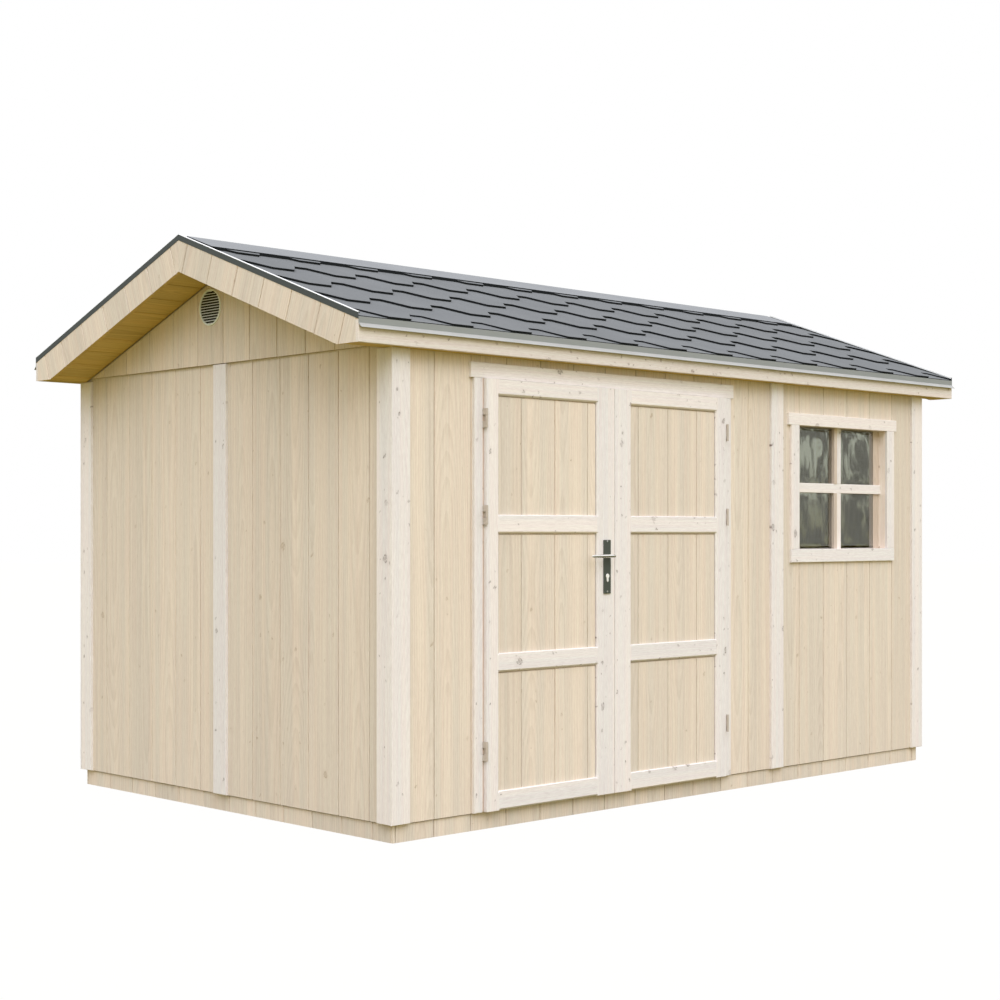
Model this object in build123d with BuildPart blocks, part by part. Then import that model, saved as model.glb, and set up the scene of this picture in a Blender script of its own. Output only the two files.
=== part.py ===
"""Garden shed of board panels: a low gable roof with boxed edges, a double door and one window.

The frame has +X along the front, +Z up and its origin on the ground under the middle.
The front faces -Y. All sizes are in millimetres.
"""

import os
from math import cos, radians, sin, tan

from build123d import *

# Base
base_length = 3800
base_width = 2365
skirt_height = 76
skirt_thickness = 12
bearer_width = 45
bearer_count = 5
floor_thickness = 19

# Walls
board_thickness = 14
board_overlap = 9
wall_top = 2021
stud_width = 35
stud_depth = 45
plate_thickness = 28
back_stud_count = 7
end_stud_count = 5
gable_thickness = 28

# Trim boards
trim_thickness = 14
corner_trim_width = 98
batten_width = 98
window_panel_length = 1284

# Roof
roof_pitch = 20
rafter_seat_in = 27
verge_overhang = 240
eaves_overhang = 76
shingle_thickness = 4
deck_thickness = 19
rafter_depth = 109
rafter_width = 45
inner_rafter_count = 3
soffit_thickness = 12
soffit_drop = 11
fascia_thickness = 18
verge_fascia_depth = 131
sheet_thickness = 1.2
drip_face_height = 40
drip_lip_out = 17
drip_lip_drop = 13
drip_flange = 90
verge_flange = 45
verge_rib = 5
ridge_cap_width = 190
ridge_cap_thickness = 3

# Doorway
door_offset = 30
leaf_width = 797.5
leaf_thickness = 24
leaf_bottom = 78
leaf_top = 1913
leaf_stand_off = 5
meeting_gap = 5
hinge_gap = 8
head_gap = 5
leaf_lap = 11.5
casing_width = 48
casing_head_height = 62
casing_ear = 20
threshold_rise = 5

# Door leaves
hinge_stile_width = 75
meeting_stile_width = 112
top_rail_height = 63
middle_rail_height = 74
bottom_rail_height = 82
upper_rail_bottom = 1262
lower_rail_bottom = 672
frame_bevel = 7
panel_recess = 9
panel_thickness = 10

# Hinges
hinge_height = 82
lower_hinge_rise = 257
middle_hinge_rise = 73
upper_hinge_drop = 168
knuckle_radius = 5.5
knuckle_inset = 0.5
pin_radius = 2.7
pin_clearance = 0.3
knuckle_gap = 0.5
hinge_plate = 2
hinge_plate_back = 3

# Handle
handle_backset = 52
lever_rise = 1076
key_drop = 90
plate_width = 44
plate_height = 242
plate_above_lever = 73
handle_plate_thickness = 6
plate_corner = 3
lever_reach = 38
lever_length = 140
lever_height = 17
lever_tip_height = 11
lever_thickness = 12
neck_radius = 8
spindle_radius = 5
spindle_clearance = 0.6
cylinder_radius = 8.5
cylinder_slot = 10
cylinder_tail = 22
cylinder_proud = 2
cylinder_clearance = 0.3

# Window
window_offset = 575.5
window_width = 784
window_height = 633
window_head_drop = 213
window_casing_width = 67
window_head_height = 60
window_ear = 22
lining_thickness = 18
lining_depth = 72
glass_setback = 58
glass_thickness = 4
bead_depth = 12
bead_width = 16

# Vents
vent_offset = 68
vent_drop = 156.5
vent_radius = 84
vent_hole_radius = 70
vent_ring_thickness = 6
vent_sleeve = 20
vent_sleeve_wall = 3
louvre_count = 11
louvre_thickness = 2.5
louvre_depth = 12
louvre_tilt = 35

# Fits
joint_gap = 0.5

# Worked out from the sizes above
slope = tan(radians(roof_pitch))
steep = cos(radians(roof_pitch))
half_length = base_length / 2
half_width = base_width / 2
panel_joint_x = half_length - window_panel_length
door_centre_x = (panel_joint_x - half_length) / 2 + door_offset
window_centre_x = panel_joint_x + window_offset
window_sill = wall_top - window_head_drop - window_height
wall_x = half_length + board_overlap
wall_y = half_width + board_overlap
inner_x = wall_x - board_thickness
inner_y = wall_y - board_thickness
trim_x = wall_x + trim_thickness
trim_y = wall_y + trim_thickness
floor_top = skirt_height + floor_thickness
verge_x = half_length + verge_overhang
eaves_y = half_width + eaves_overhang
fascia_back_x = verge_x - fascia_thickness
fascia_back_y = eaves_y - fascia_thickness
seat_y = half_width - rafter_seat_in
rafter_bottom = wall_top + slope * seat_y
rafter_top = rafter_bottom + rafter_depth / steep
deck_top = rafter_top + deck_thickness / steep
ridge_height = deck_top + shingle_thickness / steep
soffit_bottom = rafter_bottom - soffit_thickness / steep
soffit_level = wall_top - soffit_drop
vent_level = rafter_bottom - vent_drop
sole_top = floor_top + plate_thickness
head_bottom = wall_top - plate_thickness
leaf_back = wall_y + leaf_stand_off
leaf_front = leaf_back + leaf_thickness
half_doorway = leaf_width + meeting_gap / 2 + hinge_gap
opening_half = half_doorway - hinge_gap - leaf_lap
opening_top = leaf_top - leaf_lap
casing_foot = skirt_height
casing_head_z = leaf_top + head_gap
hinge_y = leaf_front + knuckle_radius + knuckle_inset
hinge_levels = (
    leaf_bottom + lower_hinge_rise,
    upper_rail_bottom + middle_hinge_rise,
    leaf_top - upper_hinge_drop,
)
lever_level = leaf_bottom + lever_rise
lining_half = window_width / 2 + lining_thickness
lining_bottom = window_sill - lining_thickness
lining_top = window_sill + window_height + lining_thickness

os.makedirs("parts", exist_ok=True)


def save(builder, name):
    """Label the finished piece and write it."""
    builder.part.label = name
    export_step(builder.part, f"parts/{name}.step")


def roof_line(top, y):
    """Height of a roof layer that is at top over the ridge."""
    return top - slope * abs(y)


def centred_block(x0, x1, y0, y1, z0, z1):
    """Add a plain timber between two corners."""
    with Locations(((x0 + x1) / 2, (y0 + y1) / 2, (z0 + z1) / 2)):
        Box(abs(x1 - x0), abs(y1 - y0), abs(z1 - z0))


def spread(first, last, count):
    """Centres of evenly spaced pieces."""
    return [first + (last - first) * i / (count - 1) for i in range(count)]


# Base: bearers run the length of the shed, the floor lies on them and the skirts close the sides
with BuildPart() as bearers:
    reach_y = half_width - skirt_thickness - bearer_width / 2
    for y in spread(-reach_y, reach_y, bearer_count):
        centred_block(
            -half_length + skirt_thickness,
            half_length - skirt_thickness,
            y - bearer_width / 2,
            y + bearer_width / 2,
            0,
            skirt_height,
        )
save(bearers, "bearers")

with BuildPart() as floor:
    centred_block(-inner_x, inner_x, -inner_y, inner_y, skirt_height, floor_top)
save(floor, "floor")

with BuildPart() as base_skirts:
    for side in (-1, 1):
        centred_block(
            -half_length,
            half_length,
            side * half_width,
            side * (half_width - skirt_thickness),
            0,
            skirt_height,
        )
        end_reach = half_width - skirt_thickness - joint_gap
        centred_block(
            side * half_length,
            side * (half_length - skirt_thickness),
            -end_reach,
            end_reach,
            0,
            skirt_height,
        )
save(base_skirts, "base_skirts")

# Board walls: the long walls run through and the end walls stand between them
doorway_left = door_centre_x - opening_half
doorway_right = door_centre_x + opening_half


def front_slab(x0, x1, z0, z1, name):
    """One board panel of the front wall."""
    with BuildPart() as slab:
        centred_block(x0, x1, -wall_y, -inner_y, z0, z1)
    save(slab, name)


front_slab(-wall_x, doorway_left, skirt_height, wall_top, "front_wall_left")
front_slab(doorway_left, doorway_right, opening_top, wall_top, "front_wall_over_door")
front_slab(doorway_right, panel_joint_x, skirt_height, wall_top, "front_wall_middle")

with BuildPart() as front_wall_window_panel:
    centred_block(panel_joint_x, wall_x, -wall_y, -inner_y, skirt_height, wall_top)
    with BuildSketch(Plane.XZ.offset(inner_y)):
        with Locations((window_centre_x, (lining_bottom + lining_top) / 2)):
            Rectangle(2 * lining_half, lining_top - lining_bottom)
    extrude(amount=board_thickness, mode=Mode.SUBTRACT)
save(front_wall_window_panel, "front_wall_window_panel")

with BuildPart() as back_wall:
    centred_block(-wall_x, wall_x, inner_y, wall_y, skirt_height, wall_top)
save(back_wall, "back_wall")

for side, name in ((-1, "left_wall"), (1, "right_wall")):
    with BuildPart() as end_wall:
        centred_block(side * inner_x, side * wall_x, -inner_y, inner_y, skirt_height, wall_top)
    save(end_wall, name)

# Gable panels stand on the end walls, flush with the battens, with a round hole for the vent
gable_inner_x = trim_x - gable_thickness

for side, name in ((-1, "left_gable"), (1, "right_gable")):
    with BuildPart() as gable:
        with BuildSketch(Plane.YZ.offset(side * gable_inner_x)):
            with BuildLine():
                Polyline(
                    (-seat_y, wall_top),
                    (seat_y, wall_top),
                    (0, rafter_bottom),
                    close=True,
                )
            make_face()
            with Locations((vent_offset, vent_level)):
                Circle(vent_hole_radius, mode=Mode.SUBTRACT)
        extrude(amount=side * gable_thickness)
    save(gable, name)

# Wall frame: sole and head plates, studs between them, and headers over the openings
frame_y = inner_y - stud_depth
frame_x = inner_x - stud_depth

with BuildPart() as long_wall_plates:
    for z in (floor_top, head_bottom):
        centred_block(-inner_x, inner_x, inner_y, frame_y, z, z + plate_thickness)
    centred_block(-inner_x, inner_x, -inner_y, -frame_y, head_bottom, wall_top)
    centred_block(-inner_x, doorway_left, -inner_y, -frame_y, floor_top, sole_top)
    centred_block(doorway_right, inner_x, -inner_y, -frame_y, floor_top, sole_top)
save(long_wall_plates, "long_wall_plates")

with BuildPart() as end_wall_plates:
    for side in (-1, 1):
        for z in (floor_top, head_bottom):
            centred_block(side * inner_x, side * frame_x, -frame_y, frame_y, z, z + plate_thickness)
save(end_wall_plates, "end_wall_plates")

corner_stud_x = inner_x - stud_width / 2
front_stud_x = [
    -corner_stud_x,
    doorway_left - stud_width / 2,
    doorway_right + stud_width / 2,
    panel_joint_x - stud_width,
    window_centre_x - lining_half - stud_width / 2,
    window_centre_x + lining_half + stud_width / 2,
    corner_stud_x,
]
corner_stud_y = frame_y - stud_width / 2

with BuildPart() as wall_studs:
    for x in front_stud_x:
        half = stud_width / 2
        centred_block(x - half, x + half, -inner_y, -frame_y, sole_top, head_bottom)
    for x in spread(-corner_stud_x, corner_stud_x, back_stud_count):
        half = stud_width / 2
        centred_block(x - half, x + half, frame_y, inner_y, sole_top, head_bottom)
    for side in (-1, 1):
        for y in spread(-corner_stud_y + joint_gap, corner_stud_y - joint_gap, end_stud_count):
            half = stud_width / 2
            centred_block(side * inner_x, side * frame_x, y - half, y + half, sole_top, head_bottom)
save(wall_studs, "wall_studs")

with BuildPart() as headers:
    centred_block(
        doorway_left,
        doorway_right,
        -inner_y,
        -frame_y,
        opening_top,
        opening_top + stud_width,
    )
    window_left = window_centre_x - lining_half
    window_right = window_centre_x + lining_half
    for z in (lining_bottom - stud_width, lining_top):
        centred_block(window_left, window_right, -inner_y, -frame_y, z, z + stud_width)
save(headers, "headers")

# Pale trim: corner boards in an angle, and battens over the panel joints
with BuildPart() as corner_trims:
    for side_x in (-1, 1):
        for side_y in (-1, 1):
            with BuildSketch(Plane.XY.offset(skirt_height)):
                with BuildLine():
                    Polyline(
                        (side_x * trim_x, side_y * trim_y),
                        (side_x * (trim_x - corner_trim_width), side_y * trim_y),
                        (side_x * (trim_x - corner_trim_width), side_y * wall_y),
                        (side_x * wall_x, side_y * wall_y),
                        (side_x * wall_x, side_y * (trim_y - corner_trim_width)),
                        (side_x * trim_x, side_y * (trim_y - corner_trim_width)),
                        close=True,
                    )
                make_face()
            extrude(amount=soffit_level - skirt_height)
save(corner_trims, "corner_trims")

with BuildPart() as battens:
    for side in (-1, 1):
        centred_block(
            panel_joint_x - batten_width / 2,
            panel_joint_x + batten_width / 2,
            side * wall_y,
            side * trim_y,
            skirt_height,
            soffit_level,
        )
        centred_block(
            side * wall_x,
            side * trim_x,
            -batten_width / 2,
            batten_width / 2,
            skirt_height,
            wall_top,
        )
save(battens, "battens")

# Doorway trim: a head board with ears over two side boards, and a sill strip on the floor edge
with BuildPart() as door_casing:
    head_half = half_doorway + casing_width + casing_ear
    centred_block(
        door_centre_x - head_half,
        door_centre_x + head_half,
        -wall_y,
        -trim_y,
        casing_head_z,
        casing_head_z + casing_head_height,
    )
    for side in (-1, 1):
        centred_block(
            door_centre_x + side * half_doorway,
            door_centre_x + side * (half_doorway + casing_width),
            -wall_y,
            -trim_y,
            casing_foot,
            casing_head_z - joint_gap,
        )
save(door_casing, "door_casing")

with BuildPart() as door_threshold:
    centred_block(
        doorway_left,
        doorway_right,
        -wall_y,
        -inner_y,
        skirt_height,
        floor_top + threshold_rise,
    )
save(door_threshold, "door_threshold")

# Window: casing boards outside, a lining through the wall, and a pane in it held by a bead
window_mid_z = window_sill + window_height / 2

with BuildPart() as window_casing:
    outer_half = window_width / 2 + window_casing_width
    head_z = window_sill + window_height
    centred_block(
        window_centre_x - outer_half - window_ear,
        window_centre_x + outer_half + window_ear,
        -wall_y,
        -trim_y,
        head_z,
        head_z + window_head_height,
    )
    centred_block(
        window_centre_x - outer_half,
        window_centre_x + outer_half,
        -wall_y,
        -trim_y,
        window_sill - window_casing_width,
        window_sill,
    )
    for side in (-1, 1):
        centred_block(
            window_centre_x + side * window_width / 2,
            window_centre_x + side * outer_half,
            -wall_y,
            -trim_y,
            window_sill + joint_gap,
            head_z - joint_gap,
        )
save(window_casing, "window_casing")


def window_ring(y_front, depth, width, height, bar):
    """A rectangular ring round the opening, its front at y_front."""
    with BuildSketch(Plane.XZ.offset(y_front)) as ring:
        with Locations((window_centre_x, window_mid_z)):
            Rectangle(width, height)
            Rectangle(width - 2 * bar, height - 2 * bar, mode=Mode.SUBTRACT)
    extrude(ring.sketch, amount=-depth)


glass_y = trim_y - glass_setback

with BuildPart() as window_frame:
    window_ring(
        wall_y,
        lining_depth,
        window_width + 2 * lining_thickness,
        window_height + 2 * lining_thickness,
        lining_thickness,
    )
    window_ring(glass_y - glass_thickness, bead_depth, window_width, window_height, bead_width)
save(window_frame, "window_frame")

with BuildPart() as window_glass:
    with BuildSketch(Plane.XZ.offset(glass_y)):
        with Locations((window_centre_x, window_mid_z)):
            Rectangle(window_width, window_height)
    extrude(amount=-glass_thickness)
save(window_glass, "window_glass")

# Roof frame: rafters with a level seat on the walls, either side of a ridge board
ridge_board_half = rafter_width / 2


def slope_layer(side, top, bottom, near_y, far_y):
    """Sketch the section of one roof slope between two parallel planes."""
    with BuildLine() as section:
        Polyline(
            (side * near_y, roof_line(bottom, near_y)),
            (side * far_y, roof_line(bottom, far_y)),
            (side * far_y, roof_line(top, far_y)),
            (side * near_y, roof_line(top, near_y)),
            close=True,
        )
    make_face(section.edges())


fly_rafter_x = fascia_back_x - rafter_width
end_rafter_x = trim_x - rafter_width
inner_rafter_x = spread(-end_rafter_x, end_rafter_x, inner_rafter_count + 2)[1:-1]
rafter_starts = [-fascia_back_x, -trim_x]
rafter_starts += [x - rafter_width / 2 for x in inner_rafter_x]
rafter_starts += [end_rafter_x, fly_rafter_x]

with BuildPart() as rafters:
    for x in rafter_starts:
        for side in (-1, 1):
            with BuildSketch(Plane.YZ.offset(x)):
                with BuildLine():
                    Polyline(
                        (side * ridge_board_half, roof_line(rafter_bottom, ridge_board_half)),
                        (side * seat_y, wall_top),
                        (side * fascia_back_y, wall_top),
                        (side * fascia_back_y, roof_line(rafter_top, fascia_back_y)),
                        (side * ridge_board_half, roof_line(rafter_top, ridge_board_half)),
                        close=True,
                    )
                make_face()
            extrude(amount=rafter_width)
save(rafters, "rafters")

with BuildPart() as ridge_board:
    with BuildSketch(Plane.YZ.offset(-fascia_back_x)):
        with BuildLine():
            Polyline(
                (-ridge_board_half, roof_line(rafter_bottom, ridge_board_half)),
                (0, rafter_bottom),
                (ridge_board_half, roof_line(rafter_bottom, ridge_board_half)),
                (ridge_board_half, roof_line(rafter_top, ridge_board_half)),
                (0, rafter_top),
                (-ridge_board_half, roof_line(rafter_top, ridge_board_half)),
                close=True,
            )
        make_face()
    extrude(amount=2 * fascia_back_x)
save(ridge_board, "ridge_board")

with BuildPart() as roof_deck:
    for side in (-1, 1):
        with BuildSketch(Plane.YZ.offset(-verge_x)):
            slope_layer(side, deck_top, rafter_top, joint_gap, eaves_y)
        extrude(amount=2 * verge_x)
save(roof_deck, "roof_deck")

# Boxed roof edges: fascia boards, sloping soffits under the verges and level soffits at the eaves
with BuildPart() as eaves_fascias:
    for side in (-1, 1):
        with BuildSketch(Plane.YZ.offset(-verge_x)):
            with BuildLine():
                Polyline(
                    (side * fascia_back_y, soffit_level),
                    (side * eaves_y, soffit_level),
                    (side * eaves_y, roof_line(rafter_top, eaves_y)),
                    (side * fascia_back_y, roof_line(rafter_top, fascia_back_y)),
                    close=True,
                )
            make_face()
        extrude(amount=2 * verge_x)
save(eaves_fascias, "eaves_fascias")

verge_fascia_bottom = rafter_top - verge_fascia_depth / steep - slope * joint_gap
level_cut_y = (verge_fascia_bottom - soffit_level) / slope

with BuildPart() as verge_fascias:
    for x in (-verge_x, fascia_back_x):
        for side in (-1, 1):
            with BuildSketch(Plane.YZ.offset(x)):
                with BuildLine():
                    Polyline(
                        (side * joint_gap, roof_line(verge_fascia_bottom, joint_gap)),
                        (side * level_cut_y, soffit_level),
                        (side * fascia_back_y, soffit_level),
                        (side * fascia_back_y, roof_line(rafter_top, fascia_back_y)),
                        (side * joint_gap, roof_line(rafter_top, joint_gap)),
                        close=True,
                    )
                make_face()
            extrude(amount=fascia_thickness)
save(verge_fascias, "verge_fascias")

soffit_end_y = (soffit_bottom - soffit_level) / slope

with BuildPart() as verge_soffits:
    for x in (-fascia_back_x, trim_x):
        for side in (-1, 1):
            with BuildSketch(Plane.YZ.offset(x)):
                slope_layer(side, rafter_bottom, soffit_bottom, joint_gap, soffit_end_y)
            extrude(amount=fascia_back_x - trim_x)
save(verge_soffits, "verge_soffits")

with BuildPart() as eaves_soffits:
    for side in (-1, 1):
        with BuildSketch(Plane.XY.offset(soffit_level)):
            with BuildLine():
                Polyline(
                    (-fascia_back_x, side * fascia_back_y),
                    (fascia_back_x, side * fascia_back_y),
                    (fascia_back_x, side * soffit_end_y),
                    (trim_x, side * soffit_end_y),
                    (trim_x, side * wall_y),
                    (-trim_x, side * wall_y),
                    (-trim_x, side * soffit_end_y),
                    (-fascia_back_x, side * soffit_end_y),
                    close=True,
                )
            make_face()
        extrude(amount=wall_top - soffit_level)
save(eaves_soffits, "eaves_soffits")

# Folded sheet edges: drips along the eaves with a lip thrown out, flashings with a rib on the verges
drip_top = roof_line(deck_top, eaves_y)

with BuildPart() as eaves_drips:
    for side in (-1, 1):
        face_y = eaves_y + sheet_thickness
        face_bottom = drip_top - drip_face_height
        flange_y = eaves_y - drip_flange
        with BuildSketch(Plane.YZ.offset(-verge_x)):
            with BuildLine():
                Polyline(
                    (side * flange_y, roof_line(deck_top, flange_y)),
                    (side * eaves_y, drip_top),
                    (side * eaves_y, face_bottom),
                    (side * (eaves_y + drip_lip_out), face_bottom - drip_lip_drop),
                    (side * (face_y + drip_lip_out), face_bottom - drip_lip_drop),
                    (side * face_y, face_bottom),
                    (side * face_y, roof_line(deck_top, face_y) + sheet_thickness),
                    (side * flange_y, roof_line(deck_top, flange_y) + sheet_thickness),
                    close=True,
                )
            make_face()
        extrude(amount=2 * verge_x)
save(eaves_drips, "eaves_drips")

with BuildPart() as shingles:
    for side in (-1, 1):
        with BuildSketch(Plane.YZ.offset(-verge_x)):
            cover_bottom = deck_top + sheet_thickness
            slope_layer(side, ridge_height, cover_bottom, joint_gap, eaves_y)
        extrude(amount=2 * verge_x)
        with BuildSketch(Plane.YZ.offset(-verge_x)):
            slope_layer(side, cover_bottom, deck_top, joint_gap, eaves_y - drip_flange)
        extrude(amount=2 * verge_x)
save(shingles, "shingles")

rib_top = ridge_height + verge_rib
flashing_bottom = rafter_top

with BuildPart() as verge_flashings:
    for end in (-1, 1):
        for side in (-1, 1):
            with BuildSketch(Plane.YZ.offset(end * verge_x)):
                slope_layer(side, rib_top, flashing_bottom, joint_gap, eaves_y)
            extrude(amount=end * sheet_thickness)
            with BuildSketch(Plane.YZ.offset(end * verge_x)):
                slope_layer(side, ridge_height + sheet_thickness, ridge_height, joint_gap, eaves_y)
            extrude(amount=-end * verge_flange)
            with BuildSketch(Plane.YZ.offset(end * verge_x)):
                slope_layer(side, rib_top, ridge_height, joint_gap, eaves_y)
            extrude(amount=-end * verge_rib)
save(verge_flashings, "verge_flashings")

with BuildPart() as ridge_cap:
    cap_x = verge_x - verge_flange - joint_gap
    with BuildSketch(Plane.YZ.offset(-cap_x)):
        with BuildLine():
            Polyline(
                (-ridge_cap_width, roof_line(ridge_height, ridge_cap_width)),
                (0, ridge_height),
                (ridge_cap_width, roof_line(ridge_height, ridge_cap_width)),
                (ridge_cap_width, roof_line(ridge_height + ridge_cap_thickness, ridge_cap_width)),
                (0, ridge_height + ridge_cap_thickness),
                (-ridge_cap_width, roof_line(ridge_height + ridge_cap_thickness, ridge_cap_width)),
                close=True,
            )
        make_face()
    extrude(amount=2 * cap_x)
save(ridge_cap, "ridge_cap")

# Round gable vents: a flat ring with a sleeve in the hole and slanted blades across it
sleeve_outer = vent_hole_radius - joint_gap
sleeve_inner = sleeve_outer - vent_sleeve_wall
blade_angle = radians(louvre_tilt)
blade_rise = louvre_depth * sin(blade_angle) + louvre_thickness * cos(blade_angle)

with BuildPart() as gable_vents:
    for end in (-1, 1):
        with BuildSketch(Plane.YZ.offset(end * trim_x)):
            with Locations((vent_offset, vent_level)):
                Circle(vent_radius)
                Circle(sleeve_inner, mode=Mode.SUBTRACT)
        extrude(amount=end * vent_ring_thickness)
        with BuildSketch(Plane.YZ.offset(end * trim_x)):
            with Locations((vent_offset, vent_level)):
                Circle(sleeve_outer)
                Circle(sleeve_inner, mode=Mode.SUBTRACT)
        extrude(amount=-end * vent_sleeve)
        pitch = 2 * sleeve_inner / (louvre_count + 1)
        for step in range(1, louvre_count + 1):
            height = pitch * step - sleeve_inner
            half_chord = (sleeve_outer**2 - (abs(height) + blade_rise / 2) ** 2) ** 0.5
            blade_x = end * (trim_x - louvre_depth / 2 + vent_ring_thickness / 2)
            with Locations(
                Location(
                    (blade_x, vent_offset, vent_level + height),
                    (0, end * louvre_tilt, 0),
                )
            ):
                Box(louvre_depth, 2 * half_chord, louvre_thickness)
save(gable_vents, "gable_vents")


# Door leaves: stiles and rails with bevelled inner edges round three board panels
rail_bottoms = (leaf_bottom, lower_rail_bottom, upper_rail_bottom, leaf_top - top_rail_height)
rail_tops = (
    leaf_bottom + bottom_rail_height,
    lower_rail_bottom + middle_rail_height,
    upper_rail_bottom + middle_rail_height,
    leaf_top,
)
panel_rows = [(rail_tops[i], rail_bottoms[i + 1]) for i in range(3)]
panel_front = leaf_front - panel_recess


def leaf_edges(side):
    """Free edge and hinge edge of a leaf, and the panel's sides, as X."""
    free = door_centre_x + side * meeting_gap / 2
    hinge = free + side * leaf_width
    return free, hinge, free + side * meeting_stile_width, hinge - side * hinge_stile_width


def door_frame(side):
    """Stiles and rails of one leaf."""
    free, hinge, panel_free, panel_hinge = leaf_edges(side)
    panel_mid = (panel_free + panel_hinge) / 2
    panel_width = abs(panel_hinge - panel_free)
    centred_block(free, hinge, -leaf_back, -leaf_front, leaf_bottom, leaf_top)
    for low, high in panel_rows:
        mid = (panel_mid, (low + high) / 2)
        with BuildSketch(Plane.XZ.offset(leaf_back)) as hole:
            with Locations(mid):
                Rectangle(panel_width, high - low)
        extrude(hole.sketch, amount=leaf_thickness, mode=Mode.SUBTRACT)
        with BuildSketch(Plane.XZ.offset(leaf_front)) as bevel:
            with Locations(mid):
                Rectangle(panel_width + 2 * frame_bevel, high - low + 2 * frame_bevel)
        extrude(bevel.sketch, amount=-frame_bevel, taper=45, mode=Mode.SUBTRACT)


def door_boards(side):
    """The three board panels of one leaf."""
    free, hinge, panel_free, panel_hinge = leaf_edges(side)
    for low, high in panel_rows:
        centred_block(
            panel_free,
            panel_hinge,
            -panel_front,
            -panel_front + panel_thickness,
            low,
            high,
        )


def hinge_axis_x(side):
    """The hinge line lies in the middle of the gap beside the casing."""
    return door_centre_x + side * (half_doorway - hinge_gap / 2)


knuckle_height = hinge_height / 3


def door_hinges(side):
    """Plate and middle knuckle of each hinge, on the leaf's edge."""
    axis_x = hinge_axis_x(side)
    edge_x = leaf_edges(side)[1]
    for level in hinge_levels:
        half = knuckle_height / 2 - knuckle_gap
        with BuildSketch(Plane.XY.offset(level - half)) as leaf_half:
            with Locations((axis_x, -hinge_y)):
                Circle(knuckle_radius)
            with Locations((edge_x + side * hinge_plate / 2, -(hinge_y + leaf_back) / 2)):
                Rectangle(hinge_plate, hinge_y - leaf_back)
            with Locations((axis_x, -hinge_y)):
                Circle(pin_radius + pin_clearance, mode=Mode.SUBTRACT)
        extrude(leaf_half.sketch, amount=2 * half)


# Handle: lever on a spindle through the left leaf, with a long plate on each face
handle_x = door_centre_x - meeting_gap / 2 - handle_backset
key_level = lever_level - key_drop
plate_mid = lever_level + plate_above_lever - plate_height / 2


def key_profile(radius, slot):
    """Round plug with a straight tail below it, as of a profile cylinder."""
    with Locations((handle_x, key_level)):
        Circle(radius)
    with Locations((handle_x, key_level - cylinder_tail / 2)):
        Rectangle(slot, cylinder_tail)


with BuildPart() as left_door_frame:
    door_frame(-1)
    with BuildSketch(Plane.XZ.offset(leaf_back)):
        with Locations((handle_x, lever_level)):
            Circle(spindle_radius + spindle_clearance)
        key_profile(cylinder_radius + cylinder_clearance, cylinder_slot + 2 * cylinder_clearance)
    extrude(amount=leaf_thickness, mode=Mode.SUBTRACT)
save(left_door_frame, "left_door_frame")

with BuildPart() as right_door_frame:
    door_frame(1)
save(right_door_frame, "right_door_frame")

for side, name in ((-1, "left"), (1, "right")):
    with BuildPart() as leaf_boards:
        door_boards(side)
    save(leaf_boards, f"{name}_door_boards")
    with BuildPart() as leaf_hinges:
        door_hinges(side)
    save(leaf_hinges, f"{name}_door_hinges")

with BuildPart() as frame_hinges:
    for side in (-1, 1):
        axis_x = hinge_axis_x(side)
        casing_edge = door_centre_x + side * half_doorway
        for level in hinge_levels:
            with BuildSketch(Plane.XY.offset(level - hinge_height / 2)):
                with Locations((axis_x, -hinge_y)):
                    Circle(pin_radius)
            extrude(amount=hinge_height)
            for start in (level - hinge_height / 2, level + knuckle_height / 2):
                with BuildSketch(Plane.XY.offset(start)):
                    with Locations((axis_x, -hinge_y)):
                        Circle(knuckle_radius)
                    plate_y = (hinge_y + wall_y + hinge_plate_back) / 2
                    with Locations((casing_edge - side * hinge_plate / 2, -plate_y)):
                        Rectangle(hinge_plate, hinge_y - wall_y - hinge_plate_back)
                extrude(amount=knuckle_height)
save(frame_hinges, "frame_hinges")

with BuildPart() as handle_plates:
    for face, outward in ((leaf_front, 1), (leaf_back, -1)):
        with BuildSketch(Plane.XZ.offset(face)):
            with Locations((handle_x, plate_mid)):
                RectangleRounded(plate_width, plate_height, plate_corner)
            with Locations((handle_x, lever_level)):
                Circle(neck_radius + spindle_clearance, mode=Mode.SUBTRACT)
            with Locations((handle_x, key_level)):
                Circle(cylinder_radius + cylinder_clearance, mode=Mode.SUBTRACT)
            with Locations((handle_x, key_level - cylinder_tail / 2)):
                Rectangle(
                    cylinder_slot + 2 * cylinder_clearance,
                    cylinder_tail + 2 * cylinder_clearance,
                    mode=Mode.SUBTRACT,
                )
        extrude(amount=outward * handle_plate_thickness)
save(handle_plates, "handle_plates")

with BuildPart() as lock_cylinder:
    cylinder_front = leaf_front + handle_plate_thickness + cylinder_proud
    cylinder_back = leaf_back - handle_plate_thickness - cylinder_proud
    with BuildSketch(Plane.XZ.offset(cylinder_back)):
        key_profile(cylinder_radius, cylinder_slot)
    extrude(amount=cylinder_front - cylinder_back)
save(lock_cylinder, "lock_cylinder")

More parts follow.
